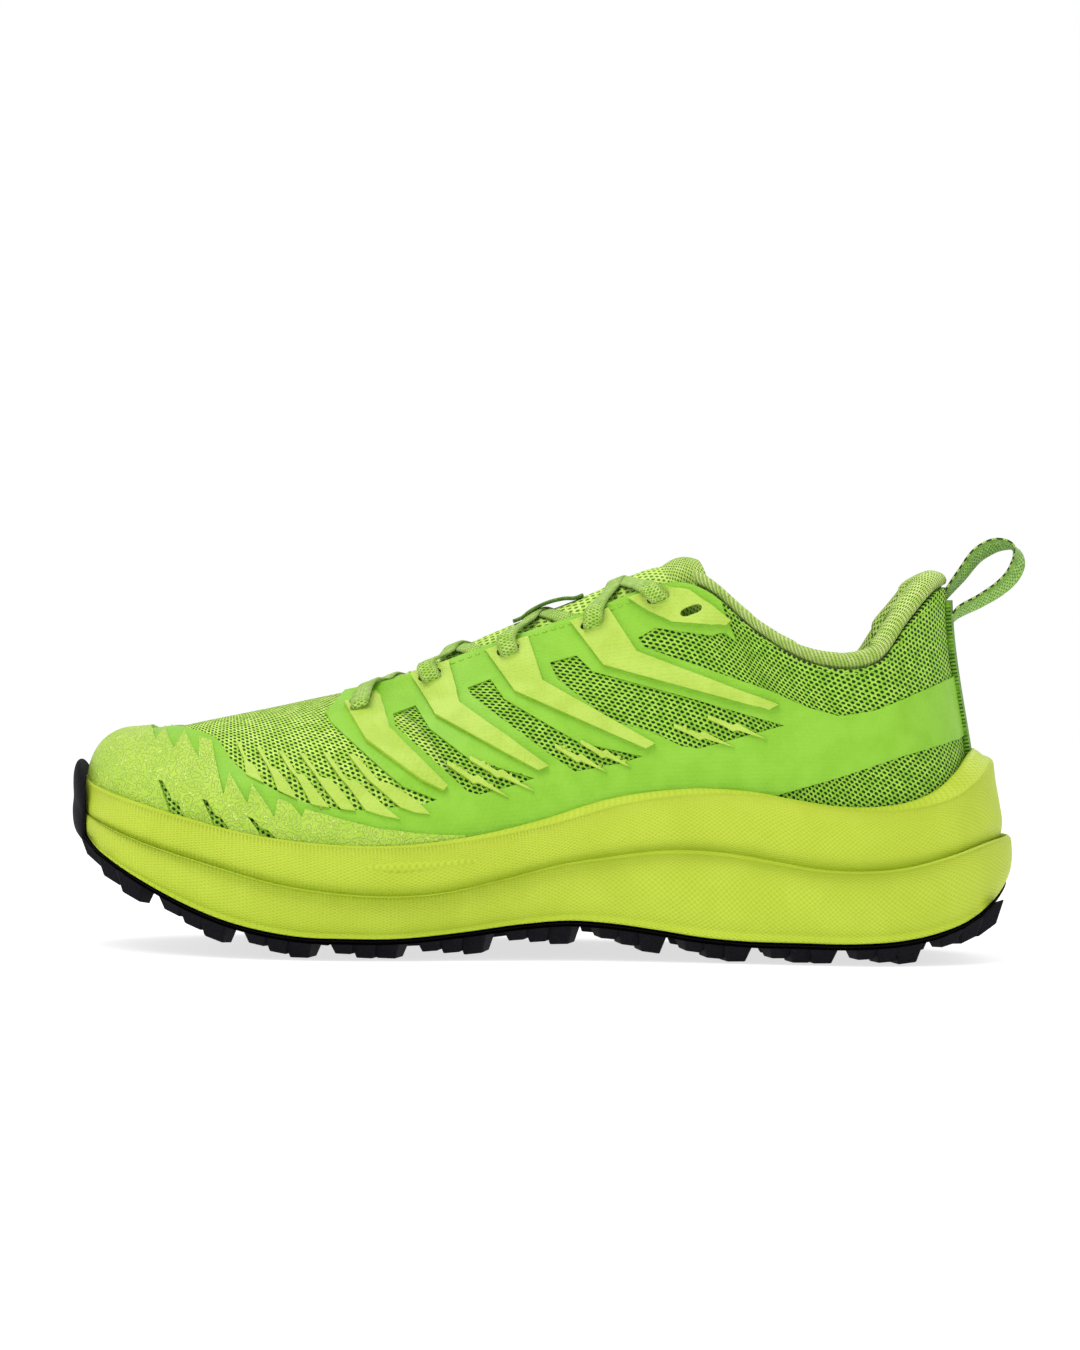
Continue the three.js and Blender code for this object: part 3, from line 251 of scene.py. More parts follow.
def look_up(table, p, t):
    """Reads a table at places p and rises t, straight between its samples."""
    row = np.mod(p, LOOP) / PLACE_STEP
    col = np.clip(t, 0, 1) * (len(RISES) - 1)
    i = np.clip(np.floor(row).astype(int), 0, len(PLACES) - 2)
    j = np.clip(np.floor(col).astype(int), 0, len(RISES) - 2)
    a, b = row - i, col - j
    if table.ndim == 3:
        a, b = a[..., None], b[..., None]
    near = table[i, j] * (1 - b) + table[i, j + 1] * b
    far = table[i + 1, j] * (1 - b) + table[i + 1, j + 1] * b
    return near * (1 - a) + far * a


def layer_point(p, t, offset, lift=0.0):
    """A point above (or below) the wall; lift carries it on past the top edge."""
    p, t = np.asarray(p, float), np.asarray(t, float)
    point = look_up(wall_points, p, t) + look_up(wall_normals, p, t) * np.asarray(offset)[..., None]
    edge = unit(look_up(wall_points, p, np.ones_like(t)) - look_up(wall_points, p, np.full_like(t, 0.96)))
    return point + edge * np.asarray(lift)[..., None]


# %% [markdown]
# Outlines of the film, ribs and windows are drawn as they look from the side. `traced` finds where on the
# wall each corner lies, so one drawing serves both sides of the shoe.

# %% From the side view to the wall
slope_p = np.gradient(wall_points, PLACE_STEP, axis=0)
slope_t = np.gradient(wall_points, RISES[1], axis=1)
MEDIAL = slice(round(0.4 / PLACE_STEP), round(18.9 / PLACE_STEP))


def on_wall(x, z):
    """Place and rise of a side-view point on the inner side: the nearest sample, then one straight step."""
    near = (wall_points[MEDIAL][..., 0] - x) ** 2 + (wall_points[MEDIAL][..., 2] - z) ** 2
    i, j = np.unravel_index(np.argmin(near), near.shape)
    i += MEDIAL.start
    across = np.array([slope_p[i, j][[0, 2]], slope_t[i, j][[0, 2]]]).T
    step = np.linalg.lstsq(across, np.array([x, z]) - wall_points[i, j][[0, 2]], rcond=None)[0]
    step = np.clip(step, (-PLACE_STEP, -RISES[1]), (PLACE_STEP, RISES[1]))
    return PLACES[i] + step[0], RISES[j] + step[1]


def traced(outline, spacing=4.0, closed=True):
    """Side-view corners (x, z) as (place, rise) pairs, with points added along the long edges."""
    ends = [*outline[1:], outline[0]] if closed else outline[1:]
    corners = []
    for (x0, z0), (x1, z1) in zip(outline, ends):
        steps = max(1, round(math.hypot(x1 - x0, z1 - z0) / spacing))
        corners += [(x0 + (x1 - x0) * k / steps, z0 + (z1 - z0) * k / steps) for k in range(steps)]
    if not closed:
        corners.append(outline[-1])
    return [on_wall(x, z) for x, z in corners]


def mirrored(outline):
    """The same outline on the outer side."""
    return [(LOOP - p, t) for p, t in outline]


# %% [markdown]
# ## Laying a layer on the wall
# A layer starts as a flat grid whose x is the place round the shoe and whose y is the rise, both stretched so
# that a cell is about square. Its outline and windows are cut while it is flat, with `bisect_plane` along
# each edge, and only then is every vertex moved onto the wall. Cutting first keeps curved outlines crisp.

# %% Cutting a flat grid
STRETCH = (10.0, 36.0)  # flat units per station and per full rise
NEAR = 0.6  # an edge cuts only the faces within this distance


def flat_grid(places, rises, step=1.0):
    """A flat grid over a range of places and rises."""
    (p0, p1), (t0, t1) = places, rises
    width, height = (p1 - p0) * STRETCH[0], (t1 - t0) * STRETCH[1]
    sheet = bmesh.new()
    uv = sheet.loops.layers.uv.new("mm")
    columns, rows = max(1, round(width / step)), max(1, round(height / step))
    bmesh.ops.create_grid(sheet, x_segments=columns, y_segments=rows, size=0.5)
    for v in sheet.verts:
        v.co = Vector(((p0 + (v.co.x + 0.5) * (p1 - p0)) * STRETCH[0],
                       (t0 + (v.co.y + 0.5) * (t1 - t0)) * STRETCH[1], 0))
    return sheet


def flat(outline):
    return [(p * STRETCH[0], t * STRETCH[1]) for p, t in outline]


def inside(points, outline):
    """Which points lie in a closed outline."""
    x, y = points.T
    odd = np.zeros(len(points), bool)
    for (x0, y0), (x1, y1) in zip(outline, [*outline[1:], outline[0]]):
        if y0 != y1:
            odd ^= ((y0 > y) != (y1 > y)) & (x < (x1 - x0) * (y - y0) / (y1 - y0) + x0)
    return odd


def cut(sheet, outline, keep_inside):
    """Cuts the grid along an outline of (place, rise) pairs and throws one part away."""
    outline = flat(outline)
    for (x0, y0), (x1, y1) in zip(outline, [*outline[1:], outline[0]]):
        length = math.hypot(x1 - x0, y1 - y0)
        if length < 1e-3:
            continue
        low = min(x0, x1) - NEAR, min(y0, y1) - NEAR
        high = max(x0, x1) + NEAR, max(y0, y1) + NEAR
        near = []
        for f in sheet.faces:
            x, y, _ = f.calc_center_bounds()
            if low[0] < x < high[0] and low[1] < y < high[1]:
                near.append(f)
        parts = set(near) | {e for f in near for e in f.edges} | {v for f in near for v in f.verts}
        bmesh.ops.bisect_plane(sheet, geom=list(parts), dist=1e-4, plane_co=(x0, y0, 0),
                               plane_no=((y1 - y0) / length, -(x1 - x0) / length, 0))
    centres = np.array([f.calc_center_median()[:2] for f in sheet.faces])
    lose = inside(centres, outline) != keep_inside
    bmesh.ops.delete(sheet, geom=[f for f, gone in zip(sheet.faces[:], lose) if gone], context="FACES")


# %% [markdown]
# `lay` moves the flat sheet onto the wall at its distance from it, writes a UV map in millimetres so that a
# weave keeps its scale all round the shoe, and makes the object. `Solidify` gives the sheet its thickness and
# `Bevel` softens the cut edge, as on pressed film.

# %% Laying it down and finishing a piece
WELD = 0.12  # points closer than this after cutting are one
CUT_EDGE = math.radians(50)  # only edges sharper than this are bevelled
FOOT_MIDDLE = ((-0.11, 0.1), -0.002, 0.055)  # metres: a line along the middle of the foot


def to_object(name, mesh, body="shoe", smooth=True):
    """Turns millimetres into metres, moves to the frame's origin, and makes an object on a body."""
    for v in mesh.verts:
        v.co = Vector(((v.co.x - ORIGIN[0]) * MM, (v.co.y - ORIGIN[1]) * MM, v.co.z * MM))
    data = bpy.data.meshes.new(name)
    for f in mesh.faces:
        f.smooth = smooth
    mesh.to_mesh(data)
    mesh.free()
    piece = bpy.data.objects.new(name, data)
    scene.collection.objects.link(piece)
    if body:
        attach(piece, body)
    return piece


def move_all(mesh, points):
    for v, point in zip(mesh.verts, points):
        v.co = point


def lay(name, sheet, offset, thickness, bevel=0.25):
    """Lays a flat sheet on the wall, with its inner face at the offset."""
    flat_xy = np.array([v.co[:2] for v in sheet.verts])
    p, t = flat_xy[:, 0] / STRETCH[0], flat_xy[:, 1] / STRETCH[1]
    run = np.interp(np.mod(p, LOOP), PLACES, wall_run) + np.floor(p / LOOP) * wall_run[-1]
    rise = look_up(wall_rise, p, t)
    uv = sheet.loops.layers.uv.active
    sheet.verts.index_update()
    for f in sheet.faces:
        for loop in f.loops:
            loop[uv].uv = (run[loop.vert.index], rise[loop.vert.index])
    move_all(sheet, layer_point(p, t, np.full(len(p), offset)))
    bmesh.ops.remove_doubles(sheet, verts=sheet.verts, dist=WELD)
    bmesh.ops.recalc_face_normals(sheet, faces=sheet.faces)
    piece = to_object(name, sheet)
    if not outward(piece):
        piece.data.flip_normals()
    solid = piece.modifiers.new("thickness", "SOLIDIFY")
    solid.thickness = thickness * MM
    solid.offset = 1
    if bevel:
        soft = piece.modifiers.new("soft edge", "BEVEL")
        soft.width = bevel * MM
        soft.segments = 2
        soft.limit_method = "ANGLE"
        soft.angle_limit = CUT_EDGE
    return piece


def outward(piece):
    """Whether a sheet's faces look away from the middle of the foot."""
    data = piece.data
    score = 0.0
    for face in data.polygons:
        (back, front), y, z = FOOT_MIDDLE
        middle = Vector((max(back, min(front, face.center.x)), y, z))
        score += face.area * face.normal.dot(face.center - middle)
    return score > 0


# %% [markdown]
# ## Materials
# Every finish is worked out from the same few effects: a lattice of fine holes or threads, a soft mottling, a
# grain for moulded rubber and wrinkled film. Each effect is a node group that puts out a value, and each
# material joins those values to its own colours, roughness and bump.

# %% A small kit for shader nodes
class Nodes:
    """Adds and joins nodes in one tree."""

    def __init__(self, tree):
        self.tree = tree

    def add(self, kind, settings=None, **inputs):
        node = self.tree.nodes.new(kind)
        for key, value in (settings or {}).items():
            setattr(node, key, value)
        for key, value in inputs.items():
            self.put(node, key, value)
        return node

    def put(self, node, key, value):
        """Sets or links an input, by its name or, as i0, i1 and so on, by its number."""
        numbered = key[0] == "i" and key[1:].isdigit()
        socket = node.inputs[int(key[1:]) if numbered else key]
        if isinstance(value, bpy.types.NodeSocket):
            self.tree.links.new(value, socket)
        else:
            socket.default_value = value

    def math(self, operation, a, b=0.0):
        return self.add("ShaderNodeMath", {"operation": operation}, i0=a, i1=b).outputs[0]

    def mix(self, share, a, b):
        node = self.add("ShaderNodeMix", {"data_type": "RGBA"})
        self.put(node, "i0", share)
        self.put(node, "i6", a)
        self.put(node, "i7", b)
        return node.outputs[2]

    def ramp(self, value, low, high):
        """0 below low, 1 above high, smooth between."""
        node = self.add("ShaderNodeMapRange", {"interpolation_type": "SMOOTHSTEP"}, i0=value, i1=low, i2=high)
        return node.outputs[0]


def linear(red, green, blue):
    """A screen colour (0 to 255) as the linear colour that shaders use."""
    def one(c):
        return c / 255 / 12.92 if c <= 10 else ((c / 255 + 0.055) / 1.055) ** 2.4

    return one(red), one(green), one(blue), 1


def effect(name, inputs):
    """A node group with float inputs, a vector input called Place, and one value output."""
    tree = bpy.data.node_groups.new(name, "ShaderNodeTree")
    tree.interface.new_socket("Place", in_out="INPUT", socket_type="NodeSocketVector")
    for key, value in inputs.items():
        socket = tree.interface.new_socket(key, in_out="INPUT", socket_type="NodeSocketFloat")
        socket.default_value = value
    tree.interface.new_socket("Value", in_out="OUTPUT", socket_type="NodeSocketFloat")
    nodes = Nodes(tree)
    start, end = nodes.add("NodeGroupInput"), nodes.add("NodeGroupOutput")
    return tree, nodes, start.outputs, lambda value: tree.links.new(value, end.inputs[0])


# %% [markdown]
# The knit is a lattice of round openings in staggered rows. `Holes` gives 1 in the middle of an opening and
# 0 on the threads. `Weave` gives the height of crossed threads, and `Grain` a pebbled or wrinkled height.

# %% Effects: holes, weave and grain
holes_group, n, given, put_out = effect("Holes", {"Pitch": 1.0, "Stagger": 1.0, "Size": 0.3})
parts = n.add("ShaderNodeSeparateXYZ", i0=given["Place"]).outputs
row = n.math("DIVIDE", parts[1], given["Pitch"])
shifted = n.math("MULTIPLY", n.math("MODULO", n.math("FLOOR", row), 2.0), 0.5)
col = n.math("ADD", n.math("DIVIDE", parts[0], n.math("MULTIPLY", given["Pitch"], given["Stagger"])), shifted)
dx = n.math("SUBTRACT", n.math("FRACT", col), 0.5)
dy = n.math("SUBTRACT", n.math("FRACT", row), 0.5)
far = n.math("SQRT", n.math("ADD", n.math("MULTIPLY", dx, dx), n.math("MULTIPLY", dy, dy)))
edge = n.math("SUBTRACT", given["Size"], 0.12)
hole = n.add("ShaderNodeMapRange", {"interpolation_type": "SMOOTHSTEP"}, i0=far, i1=given["Size"], i2=edge)
put_out(hole.outputs[0])

weave_group, n, given, put_out = effect("Weave", {"Pitch": 0.8, "Cross": 0.8})
parts = n.add("ShaderNodeSeparateXYZ", i0=given["Place"]).outputs
warp = n.math("SINE", n.math("MULTIPLY", n.math("DIVIDE", parts[0], given["Pitch"]), 2 * math.pi))
weft = n.math("SINE", n.math("MULTIPLY", n.math("DIVIDE", parts[1], given["Cross"]), 2 * math.pi))
put_out(n.math("ADD", 0.5, n.math("MULTIPLY", n.math("MULTIPLY", warp, weft), 0.5)))

grain_group, n, given, put_out = effect("Grain", {"Scale": 1.0, "Detail": 3.0, "Roughness": 0.55})
noise = n.add("ShaderNodeTexNoise", Vector=given["Place"], Scale=given["Scale"], Detail=given["Detail"],
              Roughness=given["Roughness"])
put_out(noise.outputs["Fac"])
print("effects:", holes_group.name, weave_group.name, grain_group.name)

# %% Starting a material
def new_material(name, roughness=0.7, sheen=0.0, coat=0.0):
    """A material with its shader, and its pattern coordinates in millimetres: on the surface and in space."""
    made = bpy.data.materials.new(name)
    made.use_nodes = True
    made.node_tree.nodes.clear()
    nodes = Nodes(made.node_tree)
    shader = nodes.add("ShaderNodeBsdfPrincipled", Roughness=roughness)
    shader.inputs["Specular IOR Level"].default_value = 0.3
    shader.inputs["Sheen Weight"].default_value = sheen
    shader.inputs["Sheen Roughness"].default_value = 0.4
    shader.inputs["Coat Weight"].default_value = coat
    shader.inputs["Coat Roughness"].default_value = 0.3
    output = nodes.add("ShaderNodeOutputMaterial")
    made.node_tree.links.new(shader.outputs[0], output.inputs[0])
    cloth = nodes.add("ShaderNodeUVMap", {"uv_map": "mm"}).outputs[0]
    space = nodes.add("ShaderNodeMapping", i0=nodes.add("ShaderNodeTexCoord").outputs["Object"],
                      Scale=(1000, 1000, 1000)).outputs[0]
    return made, nodes, shader, cloth, space


def apply_effect(nodes, group, place, **values):
    node = nodes.add("ShaderNodeGroup", {"node_tree": group}, Place=place)
    for key, value in values.items():
        node.inputs[key].default_value = value
    return node.outputs[0]


def raise_by(nodes, shader, height, depth):
    """Feeds a height, in shares of depth millimetres, to the shader's normal."""
    bump = nodes.add("ShaderNodeBump", Height=height)
    bump.inputs["Distance"].default_value = depth * MM
    bump.inputs["Strength"].default_value = 1.0
    nodes.put(shader, "Normal", bump.outputs[0])


def paint(piece, *materials):
    piece.data.materials.clear()
    for made in materials:
        piece.data.materials.append(made)
    return piece


# %% [markdown]
# The upper is one knitted mesh in two colours: bright threads over the toes, deep green ones at the sides.
# Its openings are about a millimetre and a half apart and show dark, as the layer under them is in shadow;
# that shade is painted, and so is a highlight on the raised tops of the threads.

# %% Knit materials
STAGGER = 1.15  # how much wider than high a cell of the lattice is


def knit(name, thread, light, shadow, pitch, size, depth=0.5):
    made, nodes, shader, cloth, space = new_material(name, roughness=0.85, sheen=0.1)
    drift = nodes.add("ShaderNodeTexNoise", Vector=space, Scale=0.9)
    uneven = nodes.add("ShaderNodeVectorMath", {"operation": "MULTIPLY_ADD"}, i0=drift.outputs["Color"],
                       i1=(0.4, 0.4, 0), i2=cloth).outputs[0]
    slanted = nodes.add("ShaderNodeMapping", i0=uneven, Rotation=(0, 0, math.radians(28))).outputs[0]
    hole = apply_effect(nodes, holes_group, slanted, Pitch=pitch, Stagger=STAGGER, Size=size)
    strand = apply_effect(nodes, weave_group, slanted, Pitch=pitch * 0.55, Cross=pitch * 0.5)
    patch = apply_effect(nodes, grain_group, space, Scale=0.35, Detail=2.0)
    yarn = nodes.mix(nodes.ramp(patch, 0.35, 0.65), thread, light)
    # painted highlight: the raised tops of the threads are mixed towards the light colour, which also gives
    # the random patches above
    yarn = nodes.mix(nodes.math("MULTIPLY", strand, 0.35), yarn, light)
    # painted shade: the openings take the shadow colour
    nodes.put(shader, "Base Color", nodes.mix(hole, yarn, shadow))
    height = nodes.math("SUBTRACT", nodes.math("MULTIPLY", strand, 0.4), hole)
    raise_by(nodes, shader, height, depth)
    return made


vamp_knit = knit("vamp knit", linear(170, 220, 62), linear(212, 250, 108), linear(38, 74, 8), 1.45, 0.37)
quarter_knit = knit("quarter knit", linear(138, 200, 42), linear(176, 230, 76), linear(24, 54, 5), 1.45, 0.39)
lining_knit = knit("lining knit", linear(196, 236, 96), linear(226, 250, 140), linear(84, 140, 24), 2.1,
                   0.35, depth=0.55)
tongue_knit = knit("tongue knit", linear(186, 230, 84), linear(214, 244, 114), linear(88, 138, 24), 1.9,
                   0.34, depth=0.6)


# %% [markdown]
# Film is thin and slightly glossy with a fine dimple. The ribs are the same plastic, thicker and brighter.
# The toe cap is film too, pressed with a wrinkle like leather, and the raised lines of its wrinkle are
# painted paler as a highlight.

# %% Film, rib and cap materials
def film_finish(name, base, pale, grain, depth, roughness=0.5, wrinkle=0.0, crest=None):
    made, nodes, shader, cloth, space = new_material(name, roughness, coat=0.12)
    speckle = apply_effect(nodes, grain_group, space, Scale=grain, Detail=2.0, Roughness=0.6)
    pressed = apply_effect(nodes, holes_group, cloth, Pitch=1.4, Stagger=STAGGER, Size=0.42)
    dimple = nodes.math("SUBTRACT", speckle, nodes.math("MULTIPLY", pressed, 0.25))
    broad = apply_effect(nodes, grain_group, space, Scale=0.12, Detail=2.0)
    tone = nodes.mix(nodes.ramp(broad, 0.35, 0.65), base, pale)
    tone = nodes.mix(nodes.math("MULTIPLY", nodes.ramp(dimple, 0.4, 0.62), 0.3), tone, pale)
    height = dimple
    if wrinkle:
        folds = apply_effect(nodes, grain_group, space, Scale=wrinkle, Detail=1.0, Roughness=0.3)
        away = nodes.math("ABSOLUTE", nodes.math("SUBTRACT", folds, 0.5))
        crease = nodes.ramp(away, 0.01, 0.07)
        # painted highlight: the raised fold lines are mixed towards the crest colour
        tone = nodes.mix(nodes.math("MULTIPLY", nodes.math("SUBTRACT", 1.0, crease), 0.75), tone, crest)
        height = nodes.math("SUBTRACT", nodes.math("MULTIPLY", dimple, 0.25), crease)
    nodes.put(shader, "Base Color", tone)
    nodes.put(shader, "Roughness", nodes.add("ShaderNodeMapRange", i0=dimple, i3=roughness - 0.08,
                                             i4=roughness + 0.1).outputs[0])
    raise_by(nodes, shader, height, depth)
    return made


film_green = film_finish("bonded film", linear(136, 195, 44), linear(144, 202, 54), 1.6, 0.16)
rib_lime = film_finish("moulded rib", linear(176, 207, 74), linear(187, 216, 88), 0.9, 0.3)
# the crest colour is the painted highlight on the wrinkle ridges
cap_lime = film_finish("toe cap film", linear(168, 206, 62), linear(178, 212, 72), 1.5, 0.3, wrinkle=0.75,
                       crest=linear(206, 233, 116))


# %% [markdown]
# Moulded foam has a very fine linen print from the tool and a soft sheen. Rubber is near black and dull.

# %% Foam and rubber materials
def foam_finish(name, base, deep, pale):
    made, nodes, shader, cloth, space = new_material(name, 0.55, coat=0.05)
    linen = apply_effect(nodes, weave_group, cloth, Pitch=1.9, Cross=1.9)
    fine = apply_effect(nodes, grain_group, space, Scale=2.2, Detail=3.0)
    broad = apply_effect(nodes, grain_group, space, Scale=0.05, Detail=2.0)
    tone = nodes.mix(nodes.ramp(broad, 0.38, 0.62), base, pale)
    tone = nodes.mix(nodes.math("MULTIPLY", nodes.ramp(linen, 0.3, 0.9), 0.38), tone, deep)
    pores = nodes.math("MULTIPLY", nodes.ramp(fine, 0.5, 0.75), 0.18)
    nodes.put(shader, "Base Color", nodes.mix(pores, tone, deep))
    height = nodes.math("ADD", nodes.math("MULTIPLY", linen, 0.6), nodes.math("MULTIPLY", fine, 0.4))
    raise_by(nodes, shader, height, 0.22)
    return made


def plain_finish(name, base, pale, scale, depth, roughness):
    """A mottled solid finish, for rubber, board, foam and plastic."""
    made, nodes, shader, cloth, space = new_material(name, roughness)
    grain = apply_effect(nodes, grain_group, space, Scale=scale, Detail=4.0)
    nodes.put(shader, "Base Color", nodes.mix(nodes.ramp(grain, 0.35, 0.7), base, pale))
    nodes.put(shader, "Roughness", nodes.add("ShaderNodeMapRange", i0=grain, i3=roughness - 0.1,
                                             i4=min(1.0, roughness + 0.1)).outputs[0])
    raise_by(nodes, shader, grain, depth)
    return made


foam_lime = foam_finish("midsole foam", linear(189, 207, 56), linear(144, 177, 20), linear(194, 212, 62))
rubber = plain_finish("outsole rubber", (0.0025, 0.0025, 0.005, 1), (0.007, 0.007, 0.010, 1), 1.1, 0.08, 0.7)
rubber.node_tree.nodes["Principled BSDF"].inputs["Specular IOR Level"].default_value = 0.1
board_white = plain_finish("lasting board", linear(214, 210, 198), linear(232, 228, 218), 1.4, 0.1, 0.9)
stiff_grey = plain_finish("stiffener", linear(120, 128, 116), linear(150, 156, 144), 0.9, 0.1, 0.8)
facing_green = plain_finish("eyestay facing", linear(136, 195, 44), linear(146, 204, 54), 0.9, 0.08, 0.6)
aglet_clear = plain_finish("aglet", linear(176, 206, 120), linear(204, 226, 156), 0.8, 0.05, 0.3)


def woven(name, base, pale, shadow, pitch, cross, edge=0.0):
    """Webbing and lace: yarn across the strap, on its own map. Edge is the width of a bound strap."""
    made, nodes, shader, cloth, space = new_material(name, roughness=0.8, sheen=0.2)
    yarn = apply_effect(nodes, weave_group, cloth, Pitch=pitch, Cross=cross)
    mottle = apply_effect(nodes, grain_group, space, Scale=0.5, Detail=2.0)
    tone = nodes.mix(nodes.ramp(mottle, 0.35, 0.65), base, pale)
    cover = nodes.mix(nodes.ramp(yarn, 0.12, 0.62), shadow, tone)
    if edge:
        parts = nodes.add("ShaderNodeSeparateXYZ", i0=cloth).outputs
        across = nodes.math("FRACT", nodes.math("ADD", nodes.math("DIVIDE", parts[1], edge), 0.5))
        from_edge = nodes.math("ABSOLUTE", nodes.math("SUBTRACT", across, 0.5))
        dash = nodes.math("GREATER_THAN", nodes.math("SINE", nodes.math("MULTIPLY", parts[0], 2.2)), -0.1)
        bound = nodes.mix(dash, linear(196, 226, 110), linear(26, 58, 10))
        cover = nodes.mix(nodes.math("LESS_THAN", from_edge, 1.1 / edge), cover, bound)
    nodes.put(shader, "Base Color", cover)
    raise_by(nodes, shader, yarn, 0.3)
    return made


lace_weave = woven("lace weave", linear(160, 202, 72), linear(192, 222, 112), linear(94, 144, 28), 1.0, 0.9)
webbing_weave = woven("webbing", linear(98, 150, 34), linear(132, 182, 54), linear(42, 78, 12), 1.2, 1.2)
loop_weave = woven("loop webbing", linear(120, 172, 48), linear(158, 204, 84), linear(70, 118, 22), 1.2, 1.2,
                   edge=12.0)
thread_pale = plain_finish("thread", linear(150, 200, 60), linear(176, 220, 84), 2.0, 0.05, 0.7)
print(len(bpy.data.materials), "materials")

# %% [markdown]
# ## Knitted mesh panels
# The upper is sewn from a front panel and two side panels. Each is a grid laid just under the wall, with the
# lace slots cut through the side panels.

# %% Lace slots
SLOTS = [(-57.8, 77.6), (-35.6, 86.3), (-11.3, 94.8), (14.7, 103.7), (35.5, 112.4), (45.8, 108.6)]
SLOT_SIZE = (7.4, 2.8)
SLOT_TILT = 0.38


def slot_outline(slot, grow=0.0):
    """A slot's rounded outline, as places and rises on the inner side."""
    long, high = SLOT_SIZE[0] / 2 + grow, SLOT_SIZE[1] / 2 + grow
    corners = []
    for k in range(12):
        turn = 2 * math.pi * (k + 0.5) / 12
        u, v = math.copysign(abs(math.cos(turn)) ** 0.6, math.cos(turn)) * long, math.sin(turn) * high
        corners.append((slot[0] + u * math.cos(SLOT_TILT) - v * math.sin(SLOT_TILT),
                        slot[1] + u * math.sin(SLOT_TILT) + v * math.cos(SLOT_TILT)))
    return traced(corners, spacing=9)


slot_outlines = [slot_outline(s) for s in SLOTS]

# %% Mesh panels
MESH = 1.4


def mesh_panel(node, places, slots, material):
    sheet = flat_grid(places, (0.0, 1.0), step=1.6)
    for outline in slots:
        cut(sheet, outline, keep_inside=False)
    panel = lay(node + "_knit", sheet, offset=-MESH, thickness=MESH, bevel=0)
    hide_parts(node)
    return paint(panel, material)


mesh_panel("vamp_mesh", (-THROAT, THROAT), [], vamp_knit)
mesh_panel("quarter_mesh_medial", (THROAT, LAST), slot_outlines, quarter_knit)
mesh_panel("quarter_mesh_lateral", (LAST, LOOP - THROAT), [mirrored(s) for s in slot_outlines], quarter_knit)
print("three mesh panels")

# %% [markdown]
# ## Bonded film
# One sheet of thin film covers the mesh and holds the upper together. Its windows show the mesh. The sheet is
# cut in one go round the whole shoe, each window once for the inner side and once mirrored.

# %% Windows in the film, in side view
WINDOWS = [
    [(-47.5, 74.3), (-40.4, 77.2), (-35.7, 70.1), (-23.1, 61), (-2.8, 55.5), (-10.5, 52.8), (-19.8, 50.2),
     (-23.5, 51.1), (-30.8, 57.5), (-46.5, 70.6)],
    [(-24.1, 83.1), (-17, 86), (-12.5, 79.8), (11.3, 66.6), (30.9, 62.9), (24.1, 60.6), (9.9, 57.8),
     (2.7, 62.4), (-22.5, 80.3)],
    [(1.6, 91.6), (9.9, 93.9), (15, 89), (41.5, 82.3), (74.6, 73.2), (48.3, 65.6), (43.3, 66.2),
     (32.7, 70.7), (20.5, 73.9), (3.8, 86.6)],
]
COLLAR_WINDOW = [(56, 101.8), (51.9, 100.8), (34.4, 103), (29.2, 99.8), (31.4, 96.7), (44.9, 92.3),
                 (70.9, 83.7), (81.3, 79.2), (91.6, 76.5), (102.2, 78.3), (128.2, 88.7), (131, 90)]
HEEL_WINDOW = [(62, 47), (70.5, 50.9), (91.9, 57.5), (112.7, 64.7), (134, 70.4)]
TOE_WINDOW = [(-124.5, 70.3), (-119, 70), (-114.5, 69), (-107.5, 67.8), (-102.5, 66), (-99.7, 63.5),
              (-96.5, 59.2), (-90.8, 55), (-82.1, 50.5), (-71.5, 46.6), (-62.5, 45.2), (-54.7, 45.1),
              (-36.8, 47.2), (-32.8, 48.5), (-43.4, 52.4), (-51.3, 58.8), (-59.5, 65.6), (-66.5, 71.4),
              (-68.7, 74.5), (-65.7, 78.3), (-63, 82)]
CAP_SLITS = [
    [(-118.7, 52.6), (-117.4, 52.4), (-114, 47.2), (-112, 46.2), (-109.6, 41.2), (-113.8, 40.4),
     (-115.8, 46)],
    [(-104.6, 47.4), (-103, 47), (-100.2, 42.6), (-98.4, 42), (-95.6, 38.4), (-99.8, 37.6), (-101.8, 42)],
    [(-90.4, 42.6), (-88.8, 42), (-86, 39.2), (-84, 38.6), (-80.8, 35.8), (-85, 34.8), (-87.4, 38.8)],
]
FILM, GAP = 0.7, 0.3
FILM_END = LAST - 0.12  # the film stops beside the back seam


def window_outlines():
    """Every window on the inner side, as places and rises; the open ones run on past the film's edge."""
    made = [traced(w) for w in WINDOWS]
    upper = traced(COLLAR_WINDOW, closed=False)
    made.append(upper + [(19.5, upper[-1][1]), (19.5, 1.1), (12.3, 1.1), (12.3, 0.8)])
    heel = traced(HEEL_WINDOW, closed=False)
    made.append(heel + [(19.5, heel[-1][1]), (19.5, -0.1), (heel[0][0], -0.1)])
    toe = traced(TOE_WINDOW, closed=False)
    made.append(toe + [(toe[-1][0], 1.1), (toe[0][0], 1.1)])
    return made + [traced(slit) for slit in CAP_SLITS]


windows = window_outlines()
print(len(windows), "windows a side")

# %% Film sheet
film_sheet = flat_grid((-FILM_END, FILM_END), (0.04, 1.0), step=1.6)
for outline in windows:
    cut(film_sheet, outline, keep_inside=False)
    cut(film_sheet, [(-p, t) for p, t in outline], keep_inside=False)
for outline in slot_outlines:
    cut(film_sheet, outline, keep_inside=False)
    cut(film_sheet, [(-p, t) for p, t in outline], keep_inside=False)
film = lay("film_overlay_sheet", film_sheet, offset=0.05, thickness=FILM)
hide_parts("film_overlay")
paint(film, film_green)
print("film with", len(film.data.polygons), "faces")

# %% [markdown]
# Small moulded ribs cross the windows like bolts of lightning over the toes and plain bars at the side. They
# are drawn in side view, cut from the same grid, and stand higher than the film.

